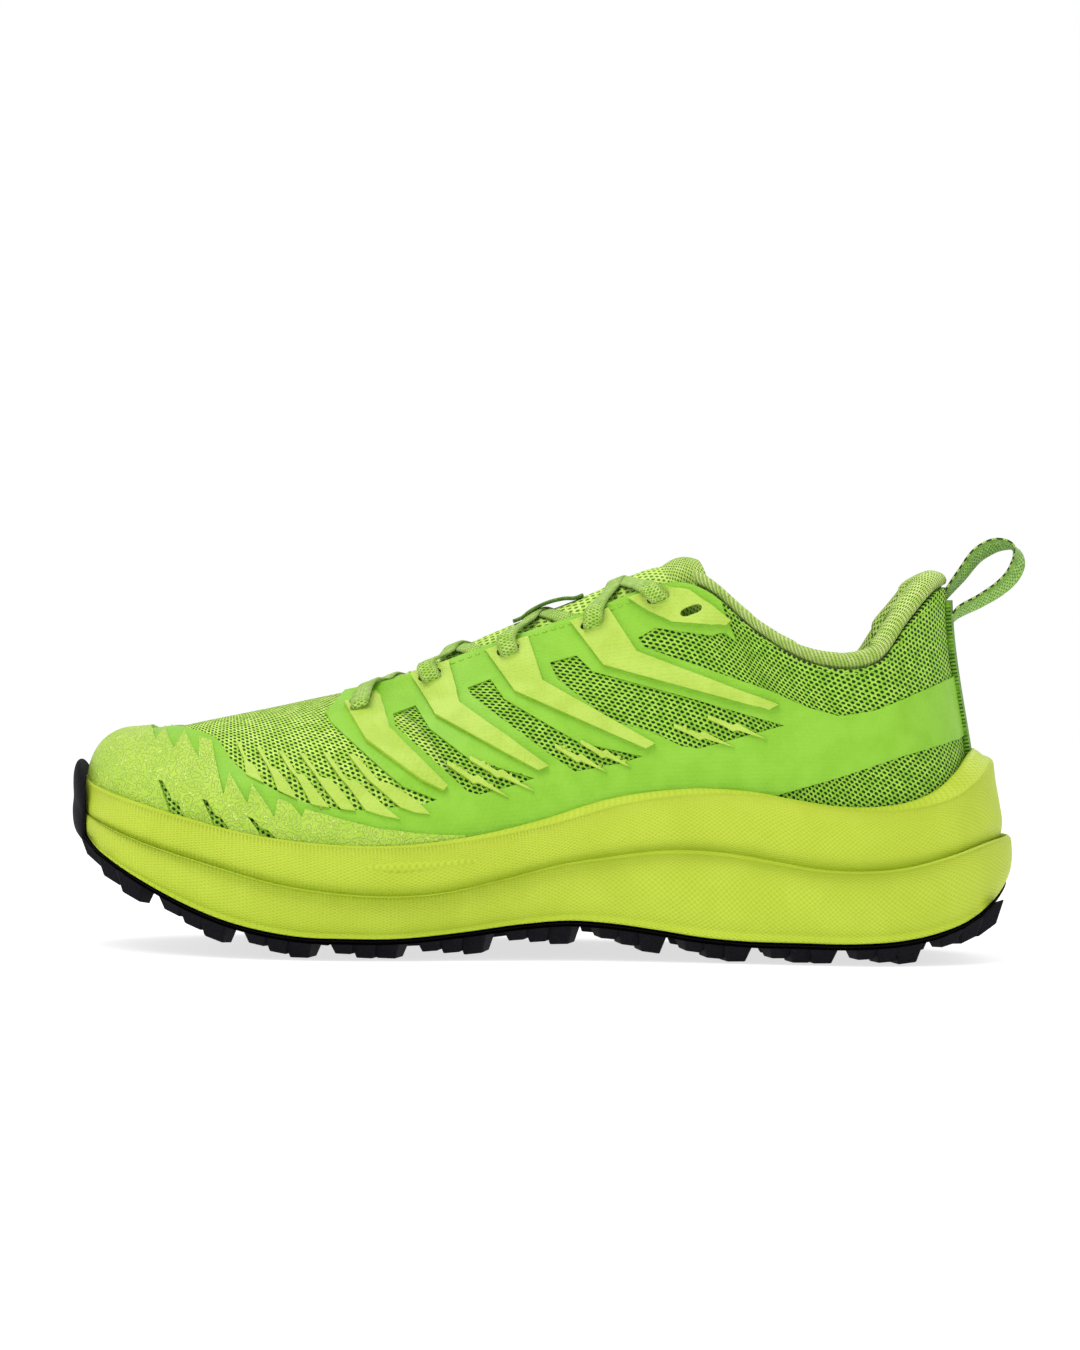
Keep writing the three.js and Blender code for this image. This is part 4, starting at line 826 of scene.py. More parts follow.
# %% Ribs over the windows, in side view
BOLTS = [
    [(-95.5, 64.5), (-94, 64), (-91.5, 59), (-89, 57.5), (-86, 52.6), (-91.5, 55), (-92.5, 59.5)],
    [(-89, 63), (-87.5, 63), (-84, 57.5), (-81.5, 56), (-78, 52), (-75.5, 48), (-81.5, 50.5), (-83.5, 55),
     (-85, 57.5)],
    [(-82, 62), (-80.5, 62), (-76, 55.5), (-73.5, 55), (-70.5, 51.5), (-65.5, 45.6), (-71, 46.5),
     (-75.5, 54), (-78, 56.5)],
    [(-75.5, 61.5), (-74, 61.5), (-68.5, 54.5), (-65.5, 54), (-61, 49.5), (-57.5, 44.8), (-62, 45.3),
     (-67.5, 51.5), (-70.5, 55.5)],
    [(-68, 61.5), (-66.5, 61.5), (-60.5, 54), (-57.5, 53.5), (-52, 49), (-48, 45.5), (-44, 42.5),
     (-49.5, 43.5), (-54.5, 45), (-60, 52), (-62.5, 54.5)],
    [(-60.5, 61.5), (-58.5, 61.5), (-50.5, 53.5), (-47.5, 53), (-41.5, 49.5), (-38, 47), (-35, 44),
     (-39.5, 44.5), (-44, 46), (-52, 52.5), (-54, 54)],
]


SIDE_BOLTS = [((-30, 59.3), (-10.5, 49.2)), ((-23, 61), (-2.5, 51.2)), ((3.5, 65.4), (20, 57.6)),
              ((11.5, 66.8), (27.5, 59.2)), ((40.5, 72.4), (59.5, 66.2)), ((51, 75.4), (69.5, 68.8))]


def side_bolt(start, end, wide=1.0):
    """A bar with a step in the middle, from its blunt upper end to its point."""
    def at(share, up):
        return mix_to(start[0], end[0], share), mix_to(start[1], end[1], share) + up * wide

    return [at(0, 0.8), at(0.42, 0.5), at(0.5, 1.7), at(0.6, 1.2), at(1, 0), at(0.6, -0.5), at(0.5, -0.6),
            at(0.42, -1.6), at(0.3, -1.0), at(0, -0.5)]


def joined_piece(name, sheets, offset, thickness, bevel, material, node):
    """Lays several cut sheets at one height and makes one piece of them."""
    whole = bmesh.new()
    whole.loops.layers.uv.new("mm")
    for sheet in sheets:
        part = bpy.data.meshes.new("part")
        sheet.to_mesh(part)
        whole.from_mesh(part)
        bpy.data.meshes.remove(part)
        sheet.free()
    piece = lay(name, whole, offset=offset, thickness=thickness, bevel=bevel)
    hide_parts(node)
    return paint(piece, material)


def cut_out(outline, step=0.6, holes=()):
    """A sheet in the shape of one outline."""
    ps, ts = [p for p, t in outline], [t for p, t in outline]
    sheet = flat_grid((min(ps) - 0.05, max(ps) + 0.05), (min(ts) - 0.02, min(max(ts) + 0.02, 1.0)), step=step)
    for hole in holes:
        cut(sheet, hole, keep_inside=False)
    cut(sheet, outline, keep_inside=True)
    return sheet


bolts = []
for outline in BOLTS + [side_bolt(*ends) for ends in SIDE_BOLTS]:
    shape = traced(outline, spacing=2.0)
    bolts += [cut_out(shape), cut_out(mirrored(shape))]
joined_piece("window_ribs", bolts, 0.05, 1.5, 0.45, rib_lime, "film_overlay")
print(len(bolts), "small ribs")

# %% [markdown]
# Four long ribs on each side run from the lace slots down and back to the sole, each bent like a tick. They
# carry the pull of the laces. The collar end of the lace row has a patch of the same moulded plastic.

# %% Chevron ribs and eyelet patch
RIBS = [
    [(-62.9, 76.5), (-52.4, 80.6), (-48.5, 69.3), (-29.8, 52.4), (-31.1, 51), (-38.3, 54.3), (-55.3, 65.7)],
    [(-41.6, 86.8), (-29.8, 91), (-26.2, 78), (1.5, 59.1), (-1.6, 57.7), (-33.9, 73.9)],
    [(-18.4, 94.7), (-5.1, 99.4), (-0.5, 85.6), (34.7, 66.8), (31.9, 65.1), (-9.2, 82.1)],
    [(7.9, 104.5), (20, 109), (28.9, 95.4), (73, 79.6), (70, 77.9), (18.4, 90.9)],
]
EYELET_PATCH = [(25.9, 112.3), (36, 116.2), (45, 115.2), (51.5, 110.8), (58, 105.6), (56.4, 104),
                (39.8, 104.9), (32.2, 108.3)]
RIB = 1.6

for side in ("medial", "lateral"):
    turn = mirrored if side == "lateral" else list
    holes = [turn(s) for s in slot_outlines]
    for number, outline in enumerate(RIBS, 1):
        sheet = cut_out(turn(traced(outline)), step=1.0, holes=holes[number - 1:number])
        rib = lay(f"rib_{side}_{number}_moulded", sheet, FILM + 0.05, RIB, bevel=0.5)
        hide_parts(f"rib_{side}_{number}")
        paint(rib, rib_lime)
    sheet = cut_out(turn(traced(EYELET_PATCH)), step=1.0, holes=holes[4:])
    patch = lay(f"eyelet_patch_{side}_moulded", sheet, FILM + 0.05, RIB, bevel=0.5)
    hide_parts(f"eyelet_patch_{side}")
    paint(patch, rib_lime)
print("four ribs and a patch on each side")

# %% [markdown]
# ## Toe cap
# The cap wraps the front of the shoe. Its upper edge is a row of teeth that grow towards the toe, and three
# slits let it bend. Everything below the toothed line is kept.

# %% Toe cap
CAP_EDGE = [(-125, 70), (-121.2, 64.1), (-119.4, 68.2), (-114.9, 61.8), (-112.5, 67.2), (-106.5, 59.1),
            (-107.3, 65.4), (-103.2, 64.6), (-98, 48.8), (-96.6, 55.3), (-90.5, 46.4), (-89.4, 52),
            (-85.3, 47.1), (-82.1, 42.5), (-81.3, 48.1), (-77.2, 46.6), (-73.8, 42.7), (-72.9, 45.1),
            (-60.4, 41.9), (-50.5, 39.6), (-35.6, 38), (-20.8, 37.7)]
CAP = 1.1
teeth = traced(CAP_EDGE, closed=False, spacing=3)
cap_outline = ([(p, t) for p, t in teeth] + [(teeth[-1][0], -0.1), (-teeth[-1][0], -0.1)]
               + [(-p, t) for p, t in reversed(teeth)] + [(-teeth[0][0], 1.1), (teeth[0][0], 1.1)])
cap_sheet = flat_grid((-THROAT, THROAT), (0.02, 1.0), step=1.2)
cut(cap_sheet, cap_outline, keep_inside=True)
for slit in CAP_SLITS:
    shape = traced(slit)
    cut(cap_sheet, shape, keep_inside=False)
    cut(cap_sheet, [(-p, t) for p, t in shape], keep_inside=False)
cap = lay("toe_cap_pressed", cap_sheet, FILM + 0.05, CAP, bevel=0.35)
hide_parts("toe_cap")
paint(cap, cap_lime)
print("toe cap with", len(cap.data.polygons), "faces")

# %% [markdown]
# ## Closed shells
# Foams, pads and straps are closed bodies. Each starts as a grid whose two directions are the way along the
# piece and the way round its section. The grid is rolled up by moving its vertices, its edges are welded, and
# open ends are filled, so there is never a seam or a hole.

# %% Rolling a grid into a shell
def curve_through(controls, share, closed):
    """Smooth curves through control points (control, vertex, xyz), each vertex read at its own share."""
    count = len(controls)
    spot = share * (count if closed else count - 1)
    i = np.floor(np.clip(spot, 0, count - (0 if closed else 1) - 1e-9)).astype(int)
    t = (spot - i)[:, None]
    each = np.arange(len(share))

    def pick(k):
        j = (i + k) % count if closed else np.clip(i + k, 0, count - 1)
        return controls[j, each]

    a, b, c, d = pick(-1), pick(0), pick(1), pick(2)
    return b + 0.5 * t * (c - a + t * (2 * a - 5 * b + 4 * c - d + t * (3 * b - a - 3 * c + d)))


def shell(name, shape, rows, cols, measure, body="shoe"):
    """A closed body: shape(u, v) gives its points and measure(u, v) its map in millimetres."""
    mesh = bmesh.new()
    uv = mesh.loops.layers.uv.new("mm")
    bmesh.ops.create_grid(mesh, x_segments=rows, y_segments=cols, size=0.5)
    share = np.array([v.co[:2] for v in mesh.verts]) + 0.5
    mapped = np.stack(measure(share[:, 0], share[:, 1]), -1)
    mesh.verts.index_update()
    for f in mesh.faces:
        for loop in f.loops:
            loop[uv].uv = mapped[loop.vert.index]
    move_all(mesh, shape(share[:, 0], share[:, 1]))
    bmesh.ops.remove_doubles(mesh, verts=mesh.verts, dist=0.01)
    open_edges = [e for e in mesh.edges if len(e.link_faces) == 1]
    bmesh.ops.holes_fill(mesh, edges=open_edges, sides=0)
    bmesh.ops.dissolve_degenerate(mesh, edges=mesh.edges, dist=0.001)
    bmesh.ops.recalc_face_normals(mesh, faces=mesh.faces)
    return to_object(name, mesh, body)


def run_at(p):
    return np.interp(np.mod(p, LOOP), PLACES, wall_run)


# %% [markdown]
# ## The two foams
# The midsole is two blocks of foam with a shallow groove between them. Each is a ring of sections round the
# shoe: from the middle, out along the bottom, up the side, and back to the middle along the top. The upper
# block stands up round the foot like a dish, and it leans in behind the heel.

# %% Plan of the sole
def plan_at(p, spread):
    """Spread 0 is the foot line and 1 the widest line of the sole."""
    foot = foot_point(p)[..., :2]
    return foot + (sole_plan(p) - foot) * np.asarray(spread)[..., None]


def centre_of(p, spread):
    return (plan_at(p, spread) + plan_at(LOOP - p, spread)) / 2


def raised(plan, z):
    return np.concatenate([plan, np.asarray(z)[..., None]], -1)


def parting(x):
    return along(UNDERSIDE, x) + 0.5 * (along(FOOTBED, x) - along(UNDERSIDE, x))


def rise_at(p, z):
    """The rise at which the wall reaches a height."""
    rows = wall_points[np.round(np.mod(p, LOOP) / PLACE_STEP).astype(int), :, 2]
    j = np.clip(np.argmax(rows >= z[:, None], 1), 1, len(RISES) - 1)
    each = np.arange(len(z))
    below, above = rows[each, j - 1], rows[each, j]
    return RISES[j - 1] + RISES[1] * np.clip((z - below) / (above - below), 0, 1)


# %% Lower foam
def lower_foam(u, v):
    p = u * LOOP
    rings = []
    for spread, share in ((0.8, 0), (0.93, 0.1), (0.985, 0.28), (1, 0.5), (0.99, 0.74), (0.97, 0.9),
                          (0.935, 0.985), (0.82, 1)):
        plan = plan_at(p, np.full_like(p, spread))
        x = plan[:, 0]
        rings.append(raised(plan, mix_to(along(UNDERSIDE, x), along(GROOVE, x), share)))
    low, high = centre_of(p, np.full_like(p, 0.8)), centre_of(p, np.full_like(p, 0.8))
    controls = [raised(low, along(UNDERSIDE, low[:, 0])), *rings, raised(high, parting(high[:, 0]))]
    return curve_through(np.array(controls), v, closed=False)


lower = shell("midsole_lower_foam", lower_foam, 380, 45, lambda u, v: (run_at(u * LOOP), v * 60))
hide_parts("midsole_lower")
paint(lower, foam_lime)
print("lower foam", len(lower.data.polygons), "faces")


# %% Upper foam
def upper_foam(u, v):
    p = u * LOOP
    station = station_of(p)
    lean = np.clip((station - 16) / 3, 0, 1)
    clear = mix_to(2.1, 1.0, np.clip(station - THROAT, 0, 1))
    rings = []
    for spread, at_heel, share in ((0.66, 0.6, 0), (0.79, 0.66, 0.03), (0.855, 0.7, 0.12), (0.87, 0.7, 0.24),
                                   (0.83, 0.6, 0.48), (0.79, 0.5, 0.7), (0.76, 0.45, 0.86), (0.73, 0.4, 0.95),
                                   (0.67, 0.17, 1)):
        plan = plan_at(p, mix_to(spread, at_heel, lean))
        base = along(GROOVE, plan[:, 0]) - 0.2
        rings.append(raised(plan, mix_to(base, around(p, RIM, True), share)))
    rim = around(p, RIM, True)
    against = layer_point(p, rise_at(p, rim), clear)
    against[:, 2] = rim - 0.1
    under = layer_point(p, np.zeros_like(p), clear)
    under[:, 2] = along(FOOTBED, under[:, 0])
    low = centre_of(p, mix_to(0.66, 0.6, lean))
    high = centre_of(p, np.zeros_like(p))
    controls = [raised(low, parting(low[:, 0]) + GAP), *rings, against, under,
                raised(high, along(FOOTBED, high[:, 0]))]
    return curve_through(np.array(controls), v, closed=False)


upper = shell("midsole_upper_foam", upper_foam, 380, 60, lambda u, v: (run_at(u * LOOP), v * 80))
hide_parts("midsole_upper")
paint(upper, foam_lime)
print("upper foam", len(upper.data.polygons), "faces")

# %% [markdown]
# ## Outsole
# The rubber is one moulding: a thin sheet under the foam, rows of angled lugs, and a bumper that wraps up
# over the toe. Each lug starts as a cube, is narrowed towards the ground and has its edges bevelled. Along
# both edges of the sole the lugs join into blocks of three steps.

# %% Rubber sheet under the foam
BASE = 1.7
TREAD = 6.3


def rubber_base(u, v):
    p = u * LOOP
    toe = np.clip(1.7 - station_of(p), 0, 1)
    rings = []
    for spread, drop in ((0.74, BASE), (0.82, BASE - 0.3), (0.85, 0.9), (0.84, 0.5)):
        plan = plan_at(p, mix_to(spread, 1.25, toe))
        rings.append(raised(plan, along(UNDERSIDE, plan[:, 0]) - drop))
    middle = centre_of(p, mix_to(0.74, 1.25, toe))
    controls = [raised(middle, along(UNDERSIDE, middle[:, 0]) - BASE), *rings,
                raised(middle, along(UNDERSIDE, middle[:, 0]) - 0.5)]
    return curve_through(np.array(controls), v, closed=False)


base_sheet = shell("outsole_sheet", rubber_base, 190, 20, lambda u, v: (run_at(u * LOOP), v * 60))
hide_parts("outsole")
paint(base_sheet, rubber)

# %% Lugs
LUG_PITCH = 14.5
BLOCK_PITCH = 26.5  # along the edges the lugs join into blocks of three steps


def add_lug(mesh, x, y, length, width, turn, tread=TREAD):
    """One lug: a cube narrowed towards the ground, turned, and stood under the foam."""
    first = len(mesh.verts)
    made = bmesh.ops.create_cube(mesh, size=1.0)["verts"]
    edges = list({e for v in made for e in v.link_edges})
    bmesh.ops.bevel(mesh, geom=edges, offset=0.09, segments=2, profile=0.5, affect="EDGES", material=-1)
    corner = Matrix.Rotation(turn, 3, "Z")
    mesh.verts.ensure_lookup_table()
    for v in mesh.verts[first:]:
        scale = 1.08 if v.co.z > 0 else 0.74
        side = corner @ Vector((v.co.x * length * scale, v.co.y * width * scale, 0))
        px, py = x + side.x, y + side.y
        under = float(along(UNDERSIDE, np.array(px)))
        top, bottom = under - BASE + 0.6, max(under - tread, 0.0)
        v.co = Vector((px, py, mix_to(bottom, top, v.co.z + 0.5)))


def sole_width(x):
    """The inner and outer edge of the sole's tread at x."""
    inner = np.interp(x, STATIONS[:, SOLE_X], STATIONS[:, SOLE_Y])
    outer = np.interp(x, STATIONS[:, SOLE_X], STATIONS[:, SOLE_Y + 1])
    return inner + 4, outer - 4


def lug_turn(x, share, most):
    """Lugs turn away from the middle line, one way under the forefoot and the other under the heel."""
    return (share - 0.5) * most * (1 if x < 20 else -1)


lugs = bmesh.new()
lugs.loops.layers.uv.new("mm")
for row in range(19):
    x = -129 + row * LUG_PITCH
    inner, outer = sole_width(x)
    length = 8 if -12 < x < 38 else 10
    for share in ((0.35, 0.65) if row % 2 else (0.5,)):
        add_lug(lugs, x, mix_to(inner, outer, share), length, 11.5, lug_turn(x, share, 0.7))
for block in range(11):
    for step, (length, tread) in enumerate(((7, 5), (7.5, 6.2), (8.5, 7.4))):
        x = -139 + block * BLOCK_PITCH + step * 6.6
        inner, outer = sole_width(x)
        for share in (0.045, 0.955):
            add_lug(lugs, x, mix_to(inner, outer, share), length, 13, lug_turn(x, share, 0.5), tread)
bmesh.ops.recalc_face_normals(lugs, faces=lugs.faces)
lug_piece = to_object("outsole_lugs", lugs, smooth=False)
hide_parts("outsole")
paint(lug_piece, rubber)
print("lugs:", len(lug_piece.data.polygons), "faces")

# %% Toe bumper
BUMPER_FACE = [(34.5, 1.5), (37, 2.4), (41, 2.7), (45, 2.4), (49, 2.6), (52.5, 2.5), (55, 1.9), (56.2, 1)]


def toe_bumper(u, v):
    p = (u * 2 - 1) * 0.999
    fade = np.sqrt(1 - (p**2) * 0.96)
    wall = plan_at(p, np.ones_like(p))
    away = unit(wall - np.array([-105, -5]))
    low = along(UNDERSIDE, wall[:, 0]) - BASE

    def at(z, out):
        rise = (z - BUMPER_FACE[0][0]) * mix_to(0.55, 1.0, fade)
        return raised(wall + away * np.asarray(out)[:, None], low + rise)

    face = [at(z, GAP + (out - GAP) * fade + 0.4) for z, out in BUMPER_FACE]
    back = [at(z, np.full_like(p, GAP)) for z, out in reversed(BUMPER_FACE)]
    return curve_through(np.array(face + back), v, closed=True)


bumper = shell("outsole_bumper", toe_bumper, 64, 96, lambda u, v: (u * 40, v * 60))
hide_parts("outsole")
paint(bumper, rubber)

# %% [markdown]
# ## Inside the shoe
# The insole lies on the lasting board and shows through the opening. The collar is a fat roll of foam wrapped
# in lining: it stands above the mesh round the ankle, and its lining runs down inside to the insole.

# %% Insole
def insole_shape(u, v):
    p = u * LOOP
    reach = np.linalg.norm(sole_plan(p) - foot_point(p)[..., :2], axis=-1)

    def ring(distance, z):
        plan = plan_at(p, -distance / np.maximum(reach, 1))
        return raised(plan, along(FOOTBED, plan[:, 0]) + z)

    middle = centre_of(p, -8 / np.maximum(reach, 1))
    bed = along(FOOTBED, middle[:, 0])
    edge = [ring(*at) for at in ((8.6, 2.1), (8, 2.9), (8, 5.4), (8.8, 6.5), (12, 6.6))]
    controls = [raised(middle, bed + 2.1), *edge, raised(middle, bed + 6.6)]
    return curve_through(np.array(controls), v, closed=False)


insole = shell("insole_sheet", insole_shape, 190, 30, lambda u, v: (run_at(u * LOOP), v * 90))
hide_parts("insole")
paint(insole, tongue_knit)

# %% Collar
COLLAR_FROM = 11.75
COLLAR_RISE = 5.2
COLLAR_FACE = -3.5
PADDING = 4.6


def collar_shape(u, v):
    p = mix_to(COLLAR_FROM, LOOP - COLLAR_FROM, u)
    fat = np.clip((station_of(p) - COLLAR_FROM) / 2 + 0.35, 0.35, 1)
    deep = PADDING * fat + 1.2

    def at(t, offset, lift=0.0):
        return layer_point(p, np.full_like(p, t), offset + 0 * p, lift + 0 * p)

    controls = [
        at(0.1, COLLAR_FACE), at(0.35, COLLAR_FACE), at(0.62, COLLAR_FACE + 0.2), at(0.86, COLLAR_FACE + 1.2),
        at(0.965, COLLAR_FACE + 1.7), at(1, -1.7, 0.2), at(1, -0.4, 1.2), at(1, -0.2, 2.8), at(1, -1.8, 4.6),
        at(1, COLLAR_FACE - deep * 0.35, COLLAR_RISE + 0.2), at(1, COLLAR_FACE - deep * 0.8, 4.4),
        at(1, COLLAR_FACE - deep - 0.9, 1.6), at(0.93, COLLAR_FACE - deep - 1.1),
        at(0.82, COLLAR_FACE - deep - 0.9), at(0.68, COLLAR_FACE - deep * 0.8 - 0.7),
        at(0.52, COLLAR_FACE - deep * 0.3 - 1), at(0.36, COLLAR_FACE - 1.1), at(0.1, COLLAR_FACE - 1),
    ]
    return curve_through(np.array(controls), v, closed=True)


collar = shell("collar_pad", collar_shape, 170, 72, lambda u, v: (u * 330, v * 170))
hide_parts("collar_foam", "collar_lining")
paint(collar, lining_knit)
print("collar", len(collar.data.polygons), "faces")

# %% [markdown]
# ## Tongue
# The tongue is a padded panel that arches between the eyestays. The piece follows the shoe up to the last
# crossing, and beyond it the free end above the laces is shaped on its own, rising towards the ankle and
# narrowing.

# %% Tongue
TONGUE_ARCH = [(7, 1.2), (7.5, 2.2), (8, 4.4), (9, 6.2), (10, 6.6), (11, 6.6), (12, 6)]
TONGUE_INSET = 5.05
TONGUE_FRONT = 7.5
TONGUE_FOLD = 11.1
CREST = np.array([-0.35, 0, 0.94])


def tongue_row(p, inset):
    """Nine points across the tongue at each place: three at each edge and three over the crest."""
    p = np.atleast_1d(np.asarray(p, float))

    def edge(place):
        return [layer_point(place, np.full_like(place, t), -inset + 0 * place) for t in (0.8, 0.9, 1.0)]

    near, far = edge(p), edge(LOOP - p)[::-1]
    arch = along(TONGUE_ARCH, p)[:, None]
    crest = [near[2] + (far[0] - near[2]) * s + CREST * arch * 4 * s * (1 - s) for s in (0.2, 0.5, 0.8)]
    return np.array(near + crest + far)


def tongue_shape(u, v):
    fold_share = 0.72
    p = mix_to(TONGUE_FRONT, TONGUE_FOLD, np.clip(u / fold_share, 0, 1))
    shift = 13 * np.clip((u - fold_share) / (1 - fold_share), 0, 1)
    narrow = 1 - 0.42 * np.clip(shift / 13, 0, 1) ** 2
    pad = mix_to(3.0, 5.0, np.clip((p - 9) / 2, 0, 1))
    close = np.clip((1 - u) / 0.06, 0, 1) ** 0.5
    outer = tongue_row(p, TONGUE_INSET + pad * (1 - close) * 0.5)
    inner = tongue_row(p, TONGUE_INSET + pad * (1 - (1 - close) * 0.5))[::-1]
    section = np.concatenate([outer, inner])
    middle = outer[4][:, 1]
    away = np.abs(section[..., 1] - middle)
    section[..., 2] += shift * 0.72 - shift**2 * 0.04 + (1 - narrow) * away * 0.3
    section[..., 0] += shift * 0.82
    section[..., 1] = middle + (section[..., 1] - middle) * narrow
    return curve_through(section, v, closed=True)


tongue = shell("tongue_pad", tongue_shape, 120, 72, lambda u, v: (u * 130, v * 130), body=None)
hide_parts("tongue", "tongue_top")
paint(tongue, tongue_knit)
fold = tongue_row(TONGUE_FOLD, TONGUE_INSET)[4, 0]
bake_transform(tongue)

# %% [markdown]
# ## Straps
# Webbing and lace are woven flat, with rounded edges. A strap is swept along its middle line with its width
# turned as the piece needs, and its map runs in millimetres along and round it, so the weave keeps its scale.

# %% Sweeping a strap
ALONG_SAMPLES = 1200
STEP_AHEAD = 0.0015  # share of the route, for its direction
FLATTEN = (0.45, 0.8)  # powers that turn the round section into a flat one with soft edges


def knots_of(points):
    """Where each point lies on its curve: by the root of the distances, so tight bends stay free of loops."""
    return np.concatenate([[0], np.cumsum(np.linalg.norm(np.diff(points, axis=0), axis=1) ** 0.5)])


def spline(points, knots, share):
    """Values on one smooth curve through the given ones."""
    points = np.asarray(points, float)
    slopes = np.gradient(points, knots, axis=0)
    at = share * knots[-1]
    i = np.clip(np.searchsorted(knots, at, side="right") - 1, 0, len(points) - 2)
    width = (knots[i + 1] - knots[i])[:, None]
    t = ((at - knots[i])[:, None]) / width
    rise = points[i + 1] - points[i]
    a, b = slopes[i] * width, slopes[i + 1] * width
    return points[i] + a * t + (3 * rise - 2 * a - b) * t**2 + (a + b - 2 * rise) * t**3


def strap(name, route, wides, width, thick, step=1.5, around_count=14, body="shoe"):
    """A flat strap along a route; wides gives the direction of its width at each route point."""
    fine = np.linspace(0, 1, ALONG_SAMPLES)
    knots = knots_of(route)
    line = spline(route, knots, fine)
    far = np.concatenate([[0], np.cumsum(np.linalg.norm(np.diff(line, axis=0), axis=1))])
    length = far[-1]

    def section(u, v):
        at = np.interp(u * length, far, fine)
        middle = spline(route, knots, at)
        after, before = (spline(route, knots, np.clip(at + d, 0, 1)) for d in (STEP_AHEAD, -STEP_AHEAD))
        ahead = unit(after - before)
        wide = spline(wides, knots, at)
        wide = unit(wide - ahead * np.sum(wide * ahead, -1, keepdims=True))
        up = np.cross(ahead, wide)
        turn = 2 * math.pi * v
        a = np.sign(np.cos(turn)) * np.abs(np.cos(turn)) ** FLATTEN[0]
        b = np.sign(np.sin(turn)) * np.abs(np.sin(turn)) ** FLATTEN[1]
        return middle + wide * (a * width / 2)[:, None] + up * (b * thick / 2)[:, None]

    def measure(u, v):
        return u * length, v * 2 * width

    return shell(name, section, round(length / step), around_count, measure, body), length


# %% [markdown]
# ## Lace
# The lace starts as a bar between the two lowest slots, and its halves cross over the tongue four times, each
# going out over the far eyestay and back in behind the next. Both ends run down inside the shoe, between
# lining and eyestay, where no one sees them.

# %% The lace's route
UNDER = -3.8
OVER = 3.5
LACE_WIDTH, LACE_THICK = 6.2, 1.2
LACE_LIFT = 1.1
LACED_ROWS = 5
CROSSED_FROM = 7.55  # the lowest crossing starts here, clear of the front mesh
slot_places = [on_wall(*s) for s in SLOTS]
SLOT_WIDE = np.array([math.cos(SLOT_TILT), 0, math.sin(SLOT_TILT)])


def wall_spot(side, row, shift, t, offset):
    """A lace point near a slot, on either side's wall."""
    p = slot_places[row][0] + shift
    p = p if side == "medial" else LOOP - p
    return layer_point(np.array([p]), np.array([t]), np.array([offset]))[0], p


def through_slot(side, row):
    """Straight through a slot, from the inside to the outside."""
    p, t = slot_places[row]
    p = p if side == "medial" else LOOP - p
    point = layer_point(np.array([p]), np.array([t]), np.zeros(1))[0]
    slant = max(abs(look_up(wall_normals, np.array([p]), np.array([t]))[0, 1]), 0.4)
    out = np.array([0, -1 if side == "medial" else 1, 0])
    return [(point + out * far / slant, SLOT_WIDE) for far in (UNDER, -0.7, OVER)]


def crossing(side, row, lift):
    """Over the tongue, towards the next slot on the other side."""
    p0, p1 = max(slot_places[row][0] + 0.28, CROSSED_FROM), slot_places[row + 1][0] - 0.2
    way = 1 if side == "medial" else -1
    wide = np.array([0.85, -0.5 * way, 0.35])
    made = []
    for share in (0.25, 0.5, 0.75):
        crest = tongue_row(mix_to(p0, p1, share), TONGUE_INSET - lift)[3:6, 0][::way]
        near = {0.25: crest[0], 0.5: crest[1], 0.75: crest[2]}[share]
        made.append((near + (crest[1] - near) * 0.1, wide))
    return made


def half_lace(side):
    """From the middle of the lowest bar to the end of one tail, as (point, width direction) pairs."""
    first = side
    lowest = slot_places[0][0]
    route = [(tongue_row(lowest + 0.3, TONGUE_INSET - 1.2)[4, 0], SLOT_WIDE)]
    route.append((wall_spot(side, 0, 0.2, 0.985, UNDER)[0], SLOT_WIDE))
    for row in range(LACED_ROWS - 1):
        route += through_slot(side, row)
        shift, t, offset = (0.12, 0.97, OVER + 0.4) if row else (0.75, 0.95, 2.8)
        route.append((wall_spot(side, row, shift, t, offset)[0], SLOT_WIDE))
        on_top = (row % 2 == 0) == (first == "medial")
        route += crossing(side, row, LACE_LIFT + (LACE_THICK + 2 * GAP if on_top else 0))
        side = "lateral" if side == "medial" else "medial"
        last = row == LACED_ROWS - 2
        shift, offset = (-0.05, OVER + 0.4) if last else (-0.12, UNDER)
        route.append((wall_spot(side, row + 1, shift, 0.98, offset)[0], SLOT_WIDE))
    route += through_slot(side, LACED_ROWS - 1)[::-1]
    for shift, t in ((-0.25, 0.84), (-0.8, 0.74), (-1.5, 0.66), (-2.1, 0.58), (-2.45, 0.5), (-2.45, 0.41),
                     (-2.1, 0.36), (-1.5, 0.38)):
        point, p = wall_spot(side, LACED_ROWS - 1, shift, t, UNDER)
        face = look_up(wall_normals, np.array([p]), np.array([t]))[0]
        ahead = unit(point - route[-1][0])
        route.append((point, unit(np.cross(face, ahead))))
    return route


lace_route = half_lace("lateral")[:0:-1] + half_lace("medial")
lace_points = np.array([point for point, wide in lace_route])
lace_wides = [lace_route[0][1]]
for point, wide in lace_route[1:]:
    lace_wides.append(wide if np.dot(wide, lace_wides[-1]) >= 0 else -wide)
lace, lace_length = strap("lace_woven", lace_points, np.array(lace_wides), LACE_WIDTH, LACE_THICK,
                          around_count=16)
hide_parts("lace")
paint(lace, lace_weave)
print("lace", round(lace_length), "mm long")

# %% [markdown]
# ## Webbing
# A keeper on the tongue holds the lace in the middle. At the heel a loop of webbing is sewn in at the collar,
# and a strip of the same webbing covers the back seam.

# %% Keeper, pull loop and heel strip
keeper_line = [tongue_row(p, TONGUE_INSET - 1.9)[4, 0] + CREST * rise for p, rise in
               ((9.25, 0), (9.35, 0.1), (9.45, 1.1), (9.65, 1.8), (9.85, 1.1), (9.95, 0.1), (10.05, 0))]
keeper, _ = strap("lace_keeper_webbing", keeper_line, [(0, 1, 0)] * len(keeper_line), 9, 1.2, step=1)
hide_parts("lace_keeper")
paint(keeper, webbing_weave)

